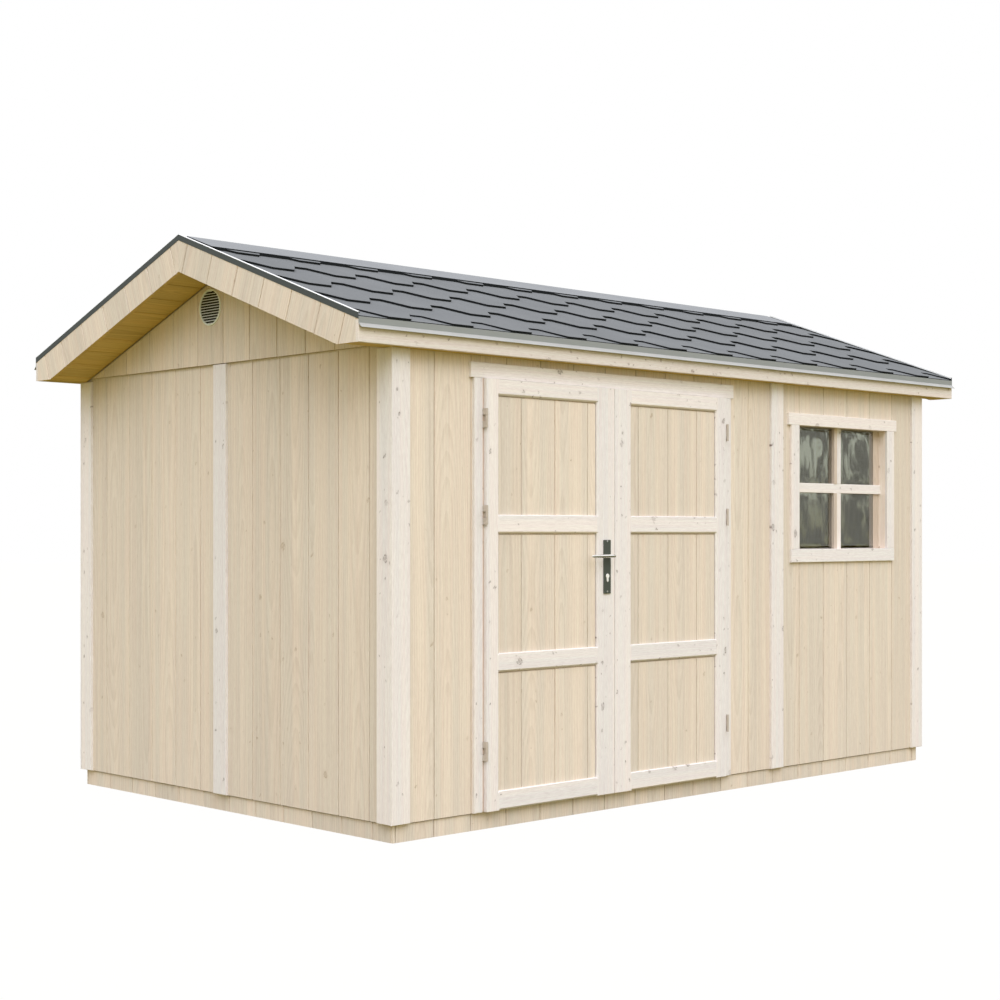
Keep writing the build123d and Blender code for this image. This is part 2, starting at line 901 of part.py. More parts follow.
with BuildPart() as door_lever:
    grip_front = leaf_front + handle_plate_thickness + lever_reach
    grip_back = leaf_back - handle_plate_thickness - lever_reach
    lever_span = lever_length - (lever_height + lever_tip_height) / 2
    with BuildSketch(Plane.XZ.offset(leaf_back)):
        with Locations((handle_x, lever_level)):
            Circle(spindle_radius)
    extrude(amount=leaf_thickness)
    for face, outward in ((leaf_front, 1), (leaf_back, -1)):
        with BuildSketch(Plane.XZ.offset(face)):
            with Locations((handle_x, lever_level)):
                Circle(neck_radius)
        extrude(amount=outward * (handle_plate_thickness + lever_reach))
    for face, outward in ((grip_front, 1), (grip_back, -1)):
        with BuildSketch(Plane.XZ.offset(face - outward * lever_thickness)):
            with Locations((handle_x, lever_level)):
                Circle(lever_height / 2)
            with Locations((handle_x - lever_span, lever_level)):
                Circle(lever_tip_height / 2)
            make_hull()
        extrude(amount=outward * lever_thickness)
save(door_lever, "door_lever")
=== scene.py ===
import math
import random

import bmesh
import bpy
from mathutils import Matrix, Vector


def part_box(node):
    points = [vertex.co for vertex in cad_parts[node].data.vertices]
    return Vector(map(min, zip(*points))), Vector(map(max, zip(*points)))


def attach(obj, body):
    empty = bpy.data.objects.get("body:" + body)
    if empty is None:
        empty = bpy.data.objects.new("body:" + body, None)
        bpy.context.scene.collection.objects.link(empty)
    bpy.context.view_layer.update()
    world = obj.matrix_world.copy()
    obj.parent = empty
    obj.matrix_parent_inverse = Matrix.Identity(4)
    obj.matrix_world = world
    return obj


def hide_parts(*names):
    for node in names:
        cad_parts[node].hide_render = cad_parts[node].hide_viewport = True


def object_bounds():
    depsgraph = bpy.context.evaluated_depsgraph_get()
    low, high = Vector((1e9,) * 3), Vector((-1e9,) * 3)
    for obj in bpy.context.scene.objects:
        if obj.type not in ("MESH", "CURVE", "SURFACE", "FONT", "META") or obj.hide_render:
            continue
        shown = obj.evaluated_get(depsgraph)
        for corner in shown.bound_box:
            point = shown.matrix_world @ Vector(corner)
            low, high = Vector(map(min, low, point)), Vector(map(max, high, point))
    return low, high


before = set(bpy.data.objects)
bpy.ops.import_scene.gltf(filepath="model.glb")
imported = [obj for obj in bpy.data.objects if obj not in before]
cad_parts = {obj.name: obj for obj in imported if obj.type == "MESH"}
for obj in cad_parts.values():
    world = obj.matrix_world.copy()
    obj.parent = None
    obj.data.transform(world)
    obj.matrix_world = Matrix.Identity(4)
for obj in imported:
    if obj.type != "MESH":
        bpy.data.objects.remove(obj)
cad_low, cad_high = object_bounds()

X, Y, Z = Vector((1, 0, 0)), Vector((0, 1, 0)), Vector((0, 0, 1))

# Stage. The camera stands off the left front corner at eye level and looks level, as in
# the photograph. A pale dome and one broad lamp from the front left light the shed softly.
# The floor and the surround look white, and glass and metal mirror a hedge instead.
camera = bpy.data.objects.new("camera", bpy.data.cameras.new("camera"))
camera.location = (-6.532, -6.638, 1.260)
camera.rotation_euler = (math.radians(90), 0, math.radians(-43.883))
camera.data.lens = 63.5
camera.data.shift_x = -0.00205
camera.data.shift_y = 0.03258
bpy.context.scene.collection.objects.link(camera)
bpy.context.scene.camera = camera
bpy.context.scene.view_settings.view_transform = "Standard"


def add_node(tree, kind, inputs=None, **settings):
    """Make a node, set it up, and link or fill its inputs."""
    node = tree.nodes.new(kind)
    for name, value in settings.items():
        setattr(node, name, value)
    for key, value in (inputs or {}).items():
        if isinstance(value, bpy.types.NodeSocket):
            tree.links.new(value, node.inputs[key])
        else:
            node.inputs[key].default_value = value
    return node


def object_place(tree):
    """Place on an object, in metres."""
    return add_node(tree, "ShaderNodeTexCoord").outputs["Object"]


def maths(tree, operation, *values, clamp=False):
    """Output of one math node."""
    inputs = dict(enumerate(values))
    return add_node(tree, "ShaderNodeMath", inputs, operation=operation, use_clamp=clamp).outputs[0]


def direct_view(tree):
    """1 where the camera looks, also through glass."""
    path = add_node(tree, "ShaderNodeLightPath").outputs
    return maths(tree, "MAXIMUM", path["Is Camera Ray"], path["Is Transmission Ray"])


def ramp(tree, value, low, high, out_low=0.0, out_high=1.0):
    """Smooth step of value between low and high."""
    inputs = {"Value": value, 1: low, 2: high, 3: out_low, 4: out_high}
    return add_node(
        tree, "ShaderNodeMapRange", inputs, interpolation_type="SMOOTHSTEP"
    ).outputs[0]


def noise(tree, vector, scale=1.0, detail=2.0, rough=0.5):
    """Soft noise, 0 to 1."""
    inputs = {"Vector": vector, "Scale": scale, "Detail": detail, "Roughness": rough}
    return add_node(tree, "ShaderNodeTexNoise", inputs).outputs["Fac"]


def stretched(tree, parts, scale):
    """Vector from three parts, each times its own scale."""
    made = [maths(tree, "MULTIPLY", part, size) for part, size in zip(parts, scale)]
    return add_node(tree, "ShaderNodeCombineXYZ", dict(enumerate(made))).outputs[0]


def blend_colour(tree, share, first, second, mode="MIX"):
    """Colour between two."""
    inputs = {"Factor": share, 6: first, 7: second}
    return add_node(
        tree, "ShaderNodeMix", inputs, data_type="RGBA", blend_type=mode
    ).outputs[2]


world = bpy.data.worlds.new("studio")
bpy.context.scene.world = world
world.use_nodes = True
tree = world.node_tree
tree.nodes.clear()
ray = add_node(tree, "ShaderNodeTexCoord").outputs["Generated"]
ray_parts = add_node(tree, "ShaderNodeSeparateXYZ", {0: ray}).outputs
height = maths(tree, "MAXIMUM", ray_parts[2], 0.0)
dome = maths(tree, "MULTIPLY_ADD", height, 1.0, 0.80)
horizon_light, zenith_light = (1, 0.955, 0.73, 1), (0.98, 1, 1.13, 1)
dome_colour = blend_colour(tree, ramp(tree, height, 0.05, 0.6), horizon_light, zenith_light)
fill = add_node(tree, "ShaderNodeBackground", {"Color": dome_colour, "Strength": dome})
turn = maths(tree, "ARCTAN2", ray_parts[0], maths(tree, "MULTIPLY", ray_parts[1], -1.0))
thin = noise(tree, stretched(tree, (turn, ray_parts[2], 0.0), (330, 45, 0)), detail=3, rough=0.65)
broad = noise(tree, stretched(tree, (turn, ray_parts[2], 0.0), (70, 36, 0)), detail=1)
leaves = maths(tree, "MULTIPLY_ADD", thin, 1.1, maths(tree, "MULTIPLY", broad, 0.9))
leaves = ramp(tree, leaves, 0.94, 1.14)
lift = ramp(tree, ray_parts[2], -0.01, 0.05)
dark_leaf = blend_colour(tree, lift, (0.03, 0.02, 0.0, 1), (0.06, 0.05, 0.015, 1))
pale_leaf = blend_colour(tree, lift, (0.27, 0.25, 0.10, 1), (0.72, 0.76, 0.58, 1))
hedge = blend_colour(tree, leaves, dark_leaf, pale_leaf)
sky = ramp(tree, ray_parts[2], 0.07, 0.35)
garden_colour = blend_colour(tree, sky, hedge, (1, 1, 1, 1))
garden = add_node(tree, "ShaderNodeBackground", {"Color": garden_colour, "Strength": 1})
mirrored = add_node(tree, "ShaderNodeLightPath").outputs["Is Glossy Ray"]
around = add_node(
    tree, "ShaderNodeMixShader", {0: mirrored, 1: fill.outputs[0], 2: garden.outputs[0]}
)
white = add_node(tree, "ShaderNodeBackground", {"Color": (1, 1, 1, 1), "Strength": 1})
both = add_node(
    tree,
    "ShaderNodeMixShader",
    {0: direct_view(tree), 1: around.outputs[0], 2: white.outputs[0]},
)
add_node(tree, "ShaderNodeOutputWorld", {"Surface": both.outputs[0]})

lamp = bpy.data.objects.new("soft_lamp", bpy.data.lights.new("soft_lamp", "SUN"))
lamp.data.energy = 1.26
lamp.data.angle = math.radians(40)
lamp.data.color = (1, 0.995, 0.975)
lamp.rotation_euler = Vector((0.35, 0.61, -0.71)).to_track_quat("-Z", "Y").to_euler()
bpy.context.scene.collection.objects.link(lamp)

floor_mesh = bpy.data.meshes.new("studio_floor")
reach = 60
floor_mesh.from_pydata(
    [(-reach, -reach, 0), (reach, -reach, 0), (reach, reach, 0), (-reach, reach, 0)],
    [],
    [(0, 1, 2, 3)],
)
studio_floor = bpy.data.objects.new("studio_floor", floor_mesh)
bpy.context.scene.collection.objects.link(studio_floor)
floor_paint = bpy.data.materials.new("studio_floor")
floor_paint.use_nodes = True
tree = floor_paint.node_tree
tree.nodes.clear()
mirrored = add_node(tree, "ShaderNodeLightPath").outputs["Is Glossy Ray"]
matt = add_node(tree, "ShaderNodeBsdfDiffuse", {"Color": (0.22, 0.185, 0.055, 1)})
clear = add_node(tree, "ShaderNodeBsdfTransparent")
matt = add_node(
    tree, "ShaderNodeMixShader", {0: mirrored, 1: matt.outputs[0], 2: clear.outputs[0]}
)
glow = add_node(tree, "ShaderNodeEmission", {"Color": (1, 1, 1, 1), "Strength": 1.05})
share = maths(tree, "MULTIPLY", direct_view(tree), 0.94)
both = add_node(
    tree, "ShaderNodeMixShader", {0: share, 1: matt.outputs[0], 2: glow.outputs[0]}
)
add_node(tree, "ShaderNodeOutputMaterial", {"Surface": both.outputs[0]})
floor_mesh.materials.append(floor_paint)

# Floor frame. Bearers carry a board floor, with plates, studs, headers, rafters and a
# ridge board over it, all sawn softwood. The walls hide most of it, and only an open
# door or the underside shows it, so the frame's own solids stay and get a grain.


def new_group(name, inputs, outputs):
    """Start a shader group and give back its tree, its inputs and its output node."""
    group = bpy.data.node_groups.new(name, "ShaderNodeTree")
    for label, kind, value in inputs:
        socket = group.interface.new_socket(label, in_out="INPUT", socket_type=kind)
        if value is not None:
            socket.default_value = value
    for label in outputs:
        group.interface.new_socket(label, in_out="OUTPUT", socket_type="NodeSocketFloat")
    group_inputs = group.nodes.new("NodeGroupInput").outputs
    return group, group_inputs, group.nodes.new("NodeGroupOutput")


def make_grain_group():
    """Growth rings, streaks, broad bands and fine fibres of a flat-sawn board.

    Place runs across, along and into the board, in metres.
    """
    tree, given, out = new_group(
        "softwood_grain",
        [("Place", "NodeSocketVector", None), ("Ring Width", "NodeSocketFloat", 0.007)],
        ["Rings", "Streaks", "Bands", "Fibres"],
    )
    parts = add_node(tree, "ShaderNodeSeparateXYZ", {0: given["Place"]}).outputs
    sway = noise(tree, stretched(tree, parts, (4, 0.9, 4)))
    sway = maths(tree, "MULTIPLY_ADD", sway, 0.06, -0.03)
    taper = noise(tree, stretched(tree, parts, (0.5, 0.6, 3)), detail=1)
    taper = maths(tree, "MULTIPLY_ADD", taper, 0.20, -0.10)
    across = maths(tree, "ADD", parts[0], sway)
    inward = maths(tree, "ADD", parts[2], taper)
    inward = maths(tree, "MAXIMUM", inward, 0.03)
    square = maths(tree, "MULTIPLY", across, across)
    radius = maths(tree, "SQRT", maths(tree, "MULTIPLY_ADD", inward, inward, square))
    phase = maths(tree, "FRACT", maths(tree, "DIVIDE", radius, given["Ring Width"]))
    rise = ramp(tree, phase, 0.25, 0.9)
    fall = ramp(tree, phase, 0.92, 1.0, 1.0, 0.0)
    tree.links.new(maths(tree, "MULTIPLY", rise, fall), out.inputs["Rings"])
    streaks = noise(tree, stretched(tree, parts, (115, 1.6, 30)), detail=4, rough=0.62)
    tree.links.new(streaks, out.inputs["Streaks"])
    bands = noise(tree, stretched(tree, parts, (17, 0.3, 8)), detail=2)
    tree.links.new(bands, out.inputs["Bands"])
    fibres = noise(tree, stretched(tree, parts, (250, 26, 120)), detail=3, rough=0.75)
    tree.links.new(fibres, out.inputs["Fibres"])
    return tree


def make_knot_group():
    """Small oval knots, scattered along a board: the mark itself and the halo round it."""
    tree, given, out = new_group(
        "pin_knots",
        [("Place", "NodeSocketVector", None), ("Share", "NodeSocketFloat", 0.4)],
        ["Knot", "Halo"],
    )
    parts = add_node(tree, "ShaderNodeSeparateXYZ", {0: given["Place"]}).outputs
    wavy = noise(tree, stretched(tree, parts, (70, 35, 0)), detail=2)
    wavy = maths(tree, "MULTIPLY_ADD", wavy, 0.024, -0.012)
    shaken = [maths(tree, "ADD", parts[0], wavy), maths(tree, "ADD", parts[1], wavy), 0.0]
    broken = ramp(tree, noise(tree, stretched(tree, parts, (190, 90, 0)), detail=1), 0.35, 0.6)
    knot, halo = 0.0, 0.0
    large, small = ((11, 8, 0), 0.7, 0.04, 0.08), ((34, 22, 0), 0.5, 0.06, 0.10)
    for scale, share, least, more in (large, small):
        place = stretched(tree, shaken, scale)
        cells = add_node(
            tree, "ShaderNodeTexVoronoi", {"Vector": place, "Scale": 1}, voronoi_dimensions="2D"
        ).outputs
        colour = add_node(tree, "ShaderNodeSeparateColor", {0: cells["Color"]}).outputs
        kept = maths(tree, "LESS_THAN", colour[0], maths(tree, "MULTIPLY", given["Share"], share))
        size = maths(tree, "MULTIPLY_ADD", maths(tree, "POWER", colour[1], 2.0), more, least)
        near = maths(tree, "DIVIDE", cells["Distance"], size)
        rim = maths(
            tree, "MULTIPLY", ramp(tree, near, 0.45, 0.95), ramp(tree, near, 1.0, 1.5, 1.0, 0.0)
        )
        mark = maths(tree, "MULTIPLY_ADD", rim, broken, ramp(tree, near, 0.3, 0.8, 0.6, 0.0))
        kept = maths(tree, "MULTIPLY", kept, maths(tree, "MULTIPLY_ADD", colour[2], 0.8, 0.25))
        knot = maths(tree, "MULTIPLY_ADD", mark, kept, knot)
        halo = maths(tree, "MULTIPLY_ADD", ramp(tree, near, 0.8, 3.5, 1.0, 0.0), kept, halo)
    knot = maths(tree, "ADD", knot, 0.0, clamp=True)
    tree.links.new(knot, out.inputs["Knot"])
    tree.links.new(halo, out.inputs["Halo"])
    return tree


grain_group, knot_group = make_grain_group(), make_knot_group()


def new_material(name):
    """Material with only a Principled shader, and its tree."""
    made = bpy.data.materials.new(name)
    made.use_nodes = True
    tree = made.node_tree
    return made, tree, tree.nodes["Principled BSDF"]


def softwood(name, pale, deep, weights, knots=None, rings=0.007, along=None, tones=0.05):
    """Planed softwood. weights are for rings, streaks, bands and fibres.

    knots are (share, colour). along is the grain's axis where a solid has no board place.
    """
    made, tree, shader = new_material(name)
    if along is None:
        place = add_node(tree, "ShaderNodeAttribute", attribute_name="grain").outputs["Vector"]
    else:
        axes = add_node(tree, "ShaderNodeSeparateXYZ", {0: object_place(tree)}).outputs
        order = {"X": (1, 0, 2), "Y": (0, 1, 2), "Z": (0, 2, 1)}[along]
        turned = {slot: axes[axis] for slot, axis in enumerate(order)}
        place = add_node(tree, "ShaderNodeCombineXYZ", turned).outputs[0]
    grain = add_node(tree, "ShaderNodeGroup", node_tree=grain_group)
    tree.links.new(place, grain.inputs["Place"])
    grain.inputs["Ring Width"].default_value = rings
    depth = 0.5 - sum(weights) / 2
    for output, weight in zip(("Rings", "Streaks", "Bands", "Fibres"), weights):
        depth = maths(tree, "MULTIPLY_ADD", grain.outputs[output], weight, depth)
    depth = maths(tree, "ADD", depth, 0.0, clamp=True)
    colour = blend_colour(tree, depth, (*pale, 1), (*deep, 1))
    cool = ramp(tree, grain.outputs["Bands"], 0.35, 0.65)
    colour = blend_colour(tree, cool, colour, (0.965, 1.0, 1.03, 1), "MULTIPLY")
    pink = ramp(tree, grain.outputs["Streaks"], 0.4, 0.6)
    colour = blend_colour(tree, pink, colour, (1.01, 0.985, 1.0, 1), "MULTIPLY")
    if knots:
        share, dark = knots
        marks = add_node(tree, "ShaderNodeGroup", node_tree=knot_group)
        tree.links.new(place, marks.inputs["Place"])
        marks.inputs["Share"].default_value = share
        halo = maths(tree, "MULTIPLY", marks.outputs["Halo"], 0.08)
        colour = blend_colour(tree, halo, colour, (*dark, 1))
        mark = maths(tree, "MULTIPLY", marks.outputs["Knot"], 0.92)
        colour = blend_colour(tree, mark, colour, (*dark, 1))
    if along is None:
        tone = add_node(tree, "ShaderNodeAttribute", attribute_name="tone").outputs["Fac"]
        value = maths(tree, "MULTIPLY_ADD", tone, tones, 1.0)
        colour = add_node(
            tree, "ShaderNodeHueSaturation", {"Value": value, "Color": colour}
        ).outputs[0]
    tree.links.new(colour, shader.inputs["Base Color"])
    height = maths(tree, "MULTIPLY_ADD", grain.outputs["Rings"], 0.4, grain.outputs["Fibres"])
    bump = add_node(tree, "ShaderNodeBump", {"Strength": 0.3, "Distance": 0.0005, "Height": height})
    tree.links.new(bump.outputs[0], shader.inputs["Normal"])
    rough = ramp(tree, grain.outputs["Streaks"], 0.2, 0.8, 0.6, 0.72)
    tree.links.new(rough, shader.inputs["Roughness"])
    shader.inputs["Specular IOR Level"].default_value = 0.3
    return made


def dress(material, *nodes):
    """Give the frame's own solids a material."""
    for name in nodes:
        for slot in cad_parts[name].material_slots:
            slot.material = material


sawn_pale, sawn_deep = (0.70, 0.55, 0.36), (0.50, 0.35, 0.19)
sawn_weights = (0.4, 0.5, 0.5, 0.2)
sawn = {
    axis: softwood(f"sawn_{axis}", sawn_pale, sawn_deep, sawn_weights, along=axis)
    for axis in "XYZ"
}
dress(sawn["X"], "bearers", "floor", "long_wall_plates", "headers", "ridge_board")
dress(sawn["Y"], "end_wall_plates", "rafters")
dress(sawn["Z"], "wall_studs")

# Wall boards. Tongued softwood boards about 208 mm wide stand upright on the floor edge,
# from corner to corner of the long walls and between them at the ends. Their edges have
# a small chamfer and show as a fine dark line. Openings are notched out of them.
draw = random.Random(12)
wall_low, wall_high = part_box("back_wall")
wall_x, wall_y = wall_high.x, wall_high.y
skirt_top, wall_top = wall_low.z, wall_high.z
wall_thickness = wall_high.y - wall_low.y

board_gap, board_chamfer, tongue_depth = 0.0035, 0.0018, 0.009


def tongued(thickness):
    """Depth and inset of each ring of a tongued board, from its face back."""
    half = board_gap / 2
    return [
        (0, half + board_chamfer),
        (board_chamfer, half),
        (tongue_depth, half),
        (tongue_depth, 0),
        (thickness, 0),
    ]


def front_layer(thickness):
    """Rings of a tongued board's front layer, with its joints open to its back."""
    return tongued(thickness)[:3] + [(thickness, board_gap / 2)]


def eased(thickness, radius=0.002):
    """Rings of a planed board with its face edges rounded."""
    return [(0, radius), (0.3 * radius, 0.3 * radius), (radius, 0), (thickness, 0)]


def new_stock():
    """One length of timber: where its grain starts, and its tone."""
    return (
        draw.uniform(-0.09, 0.09),
        draw.uniform(0, 40),
        draw.uniform(0.015, 0.10),
        draw.uniform(-1, 1),
    )


def new_piece():
    """Empty lists for the boards of one piece."""
    return {"points": [], "faces": [], "grain": [], "tone": []}


def inset_outline(outline, insets):
    """Outline with each edge moved inwards by its own amount."""
    count = len(outline)
    normals = []
    for i in range(count):
        (u0, v0), (u1, v1) = outline[i], outline[(i + 1) % count]
        length = math.hypot(u1 - u0, v1 - v0)
        normals.append(((v0 - v1) / length, (u1 - u0) / length))
    moved = []
    for i in range(count):
        (a, b), (c, d) = normals[i - 1], normals[i]
        first, second = insets[i - 1], insets[i]
        turn = a * c + b * d
        if abs(turn) > 0.99999:
            step = (c * second, d * second)
        else:
            one = (first - second * turn) / (1 - turn * turn)
            two = (second - first * turn) / (1 - turn * turn)
            step = (a * one + c * two, b * one + d * two)
        moved.append((outline[i][0] + step[0], outline[i][1] + step[1]))
    return moved


def add_board(
    piece, corners, along, outward, rings, sides_only=False, stock=None, first_share=1.0
):
    """Add a board whose face has these corners. Its grain runs along.

    rings are its (depth, inset) from the face back. With sides_only, only the edges
    that run with the grain at its two sides are inset, and the one that comes first
    across the board only by first_share.
    """
    across = along.cross(outward)
    height = corners[0].dot(outward)
    outline = [(c.dot(across), c.dot(along)) for c in corners]
    count = len(outline)
    pairs = [(outline[i], outline[(i + 1) % count]) for i in range(count)]
    if sum(p[0] * q[1] - q[0] * p[1] for p, q in pairs) < 0:
        outline.reverse()
        pairs = [(outline[i], outline[(i + 1) % count]) for i in range(count)]
    low_u, high_u = min(p[0] for p in outline), max(p[0] for p in outline)
    middle = (low_u + high_u) / 2
    half = (high_u - low_u) / 2
    worked = []
    for p, q in pairs:
        upright = abs(p[0] - q[0]) < 1e-5 and abs(abs(p[0] - middle) - half) < 1e-5
        share = first_share if abs(p[0] - low_u) < 1e-5 else 1
        worked.append(share if upright or not sides_only else 0)
    start_u, start_v, start_w, tone = stock or new_stock()
    first = len(piece["points"])
    for depth, inset in rings:
        for u, v in inset_outline(outline, [inset * flag for flag in worked]):
            piece["points"].append(across * u + along * v + outward * (height - depth))
            piece["grain"] += (u - middle + start_u, v + start_v, depth + start_w)
            piece["tone"].append(tone)
    piece["faces"].append(tuple(range(first, first + count)))
    for ring in range(len(rings) - 1):
        start = first + ring * count
        for i in range(count):
            j = (i + 1) % count
            piece["faces"].append((start + i, start + count + i, start + count + j, start + j))
    last = first + (len(rings) - 1) * count
    piece["faces"].append(tuple(reversed(range(last, last + count))))


def face_corners(low, high, outward):
    """Corners of a box's face on its outward side."""
    axis = max(range(3), key=lambda i: abs(outward[i]))
    level = high[axis] if outward[axis] > 0 else low[axis]
    one, two = [i for i in range(3) if i != axis]
    made = []
    for a, b in ((low, low), (high, low), (high, high), (low, high)):
        corner = Vector((0, 0, 0))
        corner[axis], corner[one], corner[two] = level, a[one], b[two]
        made.append(corner)
    return made


def add_timber(piece, low, high, along, outward, radius=0.002):
    """Add a planed timber between two corners."""
    low, high = Vector(map(min, low, high)), Vector(map(max, low, high))
    axis = max(range(3), key=lambda i: abs(outward[i]))
    rings = eased(high[axis] - low[axis], radius)
    add_board(piece, face_corners(low, high, outward), along, outward, rings)


def stand(name, mesh, body, nodes):
    """Make the mesh's object, ride it on its body and stand it for its solids."""
    made = bpy.data.objects.new(name, mesh)
    bpy.context.scene.collection.objects.link(made)
    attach(made, body)
    if nodes:
        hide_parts(*nodes)
    return made


def show(piece, name, material, body, slot, *nodes):
    """Make the object of a piece of boards and stand it for its solids."""
    mesh = bpy.data.meshes.new(name)
    mesh.from_pydata(piece["points"], [], piece["faces"])
    mesh.attributes.new("grain", "FLOAT_VECTOR", "POINT").data.foreach_set("vector", piece["grain"])
    mesh.attributes.new("tone", "FLOAT", "POINT").data.foreach_set("value", piece["tone"])
    mesh.materials.append(material)
    return stand(name, mesh, body, nodes)


board_wood = softwood(
    "board_wood",
    (0.88, 0.78, 0.665),
    (0.605, 0.512, 0.405),
    (0.18, 0.75, 0.5, 0.85),
    knots=(0.06, (0.42, 0.31, 0.20)),
    rings=0.010,
)


def strips(first, last, start, pitch):
    """Board edges between first and last, with joints every pitch from start."""
    joints = [start + pitch * n for n in range(-30, 31)]
    edges = [first, *(j for j in joints if first + 0.01 < j < last - 0.01), last]
    return list(zip(edges, edges[1:]))


def notched(a, b, low, high, hole):
    """Outlines of an upright board from a to b with the hole cut out."""
    if hole is None or b <= hole[0] or a >= hole[1]:
        return [[(a, low), (b, low), (b, high), (a, high)]]
    left, right, bottom, top = hole
    if a >= left and b <= right:
        parts = [[(a, top), (b, top), (b, high), (a, high)]]
        if bottom > low:
            parts.append([(a, low), (b, low), (b, bottom), (a, bottom)])
        return parts
    outer, inner, edge = (a, b, left) if a < left else (b, a, right)
    corners = [(inner, high), (outer, high), (outer, low)]
    if bottom > low:
        corners += [(inner, low), (inner, bottom)]
    return [corners + [(edge, max(bottom, low)), (edge, top), (inner, top)]]


def add_wall(piece, edges, low, high, outward, distance, hole=None, thickness=None):
    """Add upright boards to a wall. Edges are X on the long walls and Y on the ends."""
    across = Y if abs(outward.x) > 0.5 else X
    rings = tongued(thickness or wall_thickness)
    for a, b in edges:
        stock = new_stock()
        for outline in notched(a, b, low, high, hole):
            corners = [across * u + Z * v + outward * distance for u, v in outline]
            add_board(piece, corners, Z, outward, rings, sides_only=True, stock=stock)


door_low, door_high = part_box("front_wall_over_door")
doorway = (door_low.x, door_high.x, 0, door_low.z)
lining_low, lining_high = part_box("window_frame")
window_hole = (lining_low.x, lining_high.x, lining_low.z, lining_high.z)
panel_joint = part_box("front_wall_window_panel")[0].x
end_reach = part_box("left_wall")[1].y
main_start, main_pitch = -1.6817, 0.2078
main_edges = strips(-wall_x, panel_joint, main_start, main_pitch)
window_start, window_pitch = 0.8146, 0.20805
window_edges = strips(panel_joint, wall_x, window_start, window_pitch)
end_start, end_pitch = -0.032, 0.2024
end_edges = strips(-end_reach, end_reach, end_start, end_pitch)

front = new_piece()
add_wall(front, main_edges, skirt_top, wall_top, -Y, wall_y, doorway)
add_wall(front, window_edges, skirt_top, wall_top, -Y, wall_y, window_hole)
front_nodes = [f"front_wall_{part}" for part in ("left", "over_door", "middle", "window_panel")]
show(front, "front_boards", board_wood, "shed", "cladding", *front_nodes)

back = new_piece()
add_wall(back, main_edges + window_edges, skirt_top, wall_top, Y, wall_y)
show(back, "back_boards", board_wood, "shed", "cladding", "back_wall")

for outward, name in ((-X, "left"), (X, "right")):
    end_wall = new_piece()
    add_wall(end_wall, end_edges, skirt_top, wall_top, outward, wall_x)
    show(end_wall, f"{name}_boards", board_wood, "shed", "cladding", f"{name}_wall")

# Base skirts. Short offcuts of the same boards close the sides of the floor frame, a
# little back from the wall boards above them.
skirt_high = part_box("base_skirts")[1]
skirt_thickness, skirt_show = 0.012, skirt_top - 0.004
long_start, long_pitch = -1.676, 0.2076
short_start, short_pitch = -0.045, 0.2021
skirts = new_piece()
for outward in (-Y, Y):
    edges = strips(-skirt_high.x, skirt_high.x, long_start, long_pitch)
    add_wall(skirts, edges, 0, skirt_show, outward, skirt_high.y, thickness=skirt_thickness)
for outward in (-X, X):
    reach = skirt_high.y - skirt_thickness
    edges = strips(-reach, reach, short_start, short_pitch)
    add_wall(skirts, edges, 0, skirt_show, outward, skirt_high.x, thickness=skirt_thickness)
show(skirts, "skirt_boards", board_wood, "shed", "cladding", "base_skirts")

# Gable panels. The same boards fill the triangle under each verge. They stand a board's
# thickness proud of the wall below, flush with the batten, and have a round hole for a
# vent.


def clip(corners, point, normal):
    """Part of a convex outline on the side that normal points to."""
    kept = []
    for i, corner in enumerate(corners):
        before = corners[i - 1]
        now, then = (corner - point).dot(normal), (before - point).dot(normal)
        if (now > 0) != (then > 0):
            kept.append(before + (corner - before) * (then / (then - now)))
        if now > 0:
            kept.append(corner)
    return [c for i, c in enumerate(kept) if (c - kept[i - 1]).length > 0.0002]


gable_low, gable_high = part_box("left_gable")
gable_x = -gable_low.x
gable_slope = (gable_high.z - wall_top) / gable_high.y
gable_gap = 0.007
gable_foot = wall_top + 0.0035
gable_thickness = gable_high.x - gable_low.x
vent_low, vent_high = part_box("gable_vents")
vent_y, vent_z = (vent_low.y + vent_high.y) / 2, (vent_low.z + vent_high.z) / 2
vent_hole, arc_steps = 0.070, 24

soffit_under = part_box("verge_soffits")[1].z - 0.0128
gable_front = 0.013
gable_start, gable_pitch = -0.029, 0.2016


def add_gable(piece, outward, distance, foot, peak, rings):
    """Add the upright boards of a gable, with the vent's hole, between foot and roof."""
    face = outward * distance
    half = (peak - foot) / gable_slope
    whole = [face - Y * half + Z * foot, face + Y * half + Z * foot, face + Z * peak]
    for a, b in strips(-half, half, gable_start, gable_pitch):
        corners = clip(clip(whole, face + Y * a, Y), face + Y * b, -Y)
        if a < vent_y - vent_hole < b:
            rim = [(vent_y, foot), (b, foot), (b, peak - gable_slope * b)]
            if a < 0:
                rim.append((0, peak))
            rim += [(a, peak - gable_slope * abs(a)), (a, foot), (vent_y, foot)]
            for step in range(2 * arc_steps + 1):
                angle = math.pi * step / arc_steps
                y, z = vent_hole * math.sin(angle), vent_hole * math.cos(angle)
                rim.append((vent_y - y, vent_z - z))
            corners = [face + Y * y + Z * z for y, z in rim]
        add_board(piece, corners, Z, outward, rings, True)


def dress_faces(made, material, *directions):
    """Give the faces that look in any of the directions another material."""
    made.data.materials.append(material)
    for face in made.data.polygons:
        if any(face.normal.dot(direction) > 0.5 for direction in directions):
            face.material_index = 1


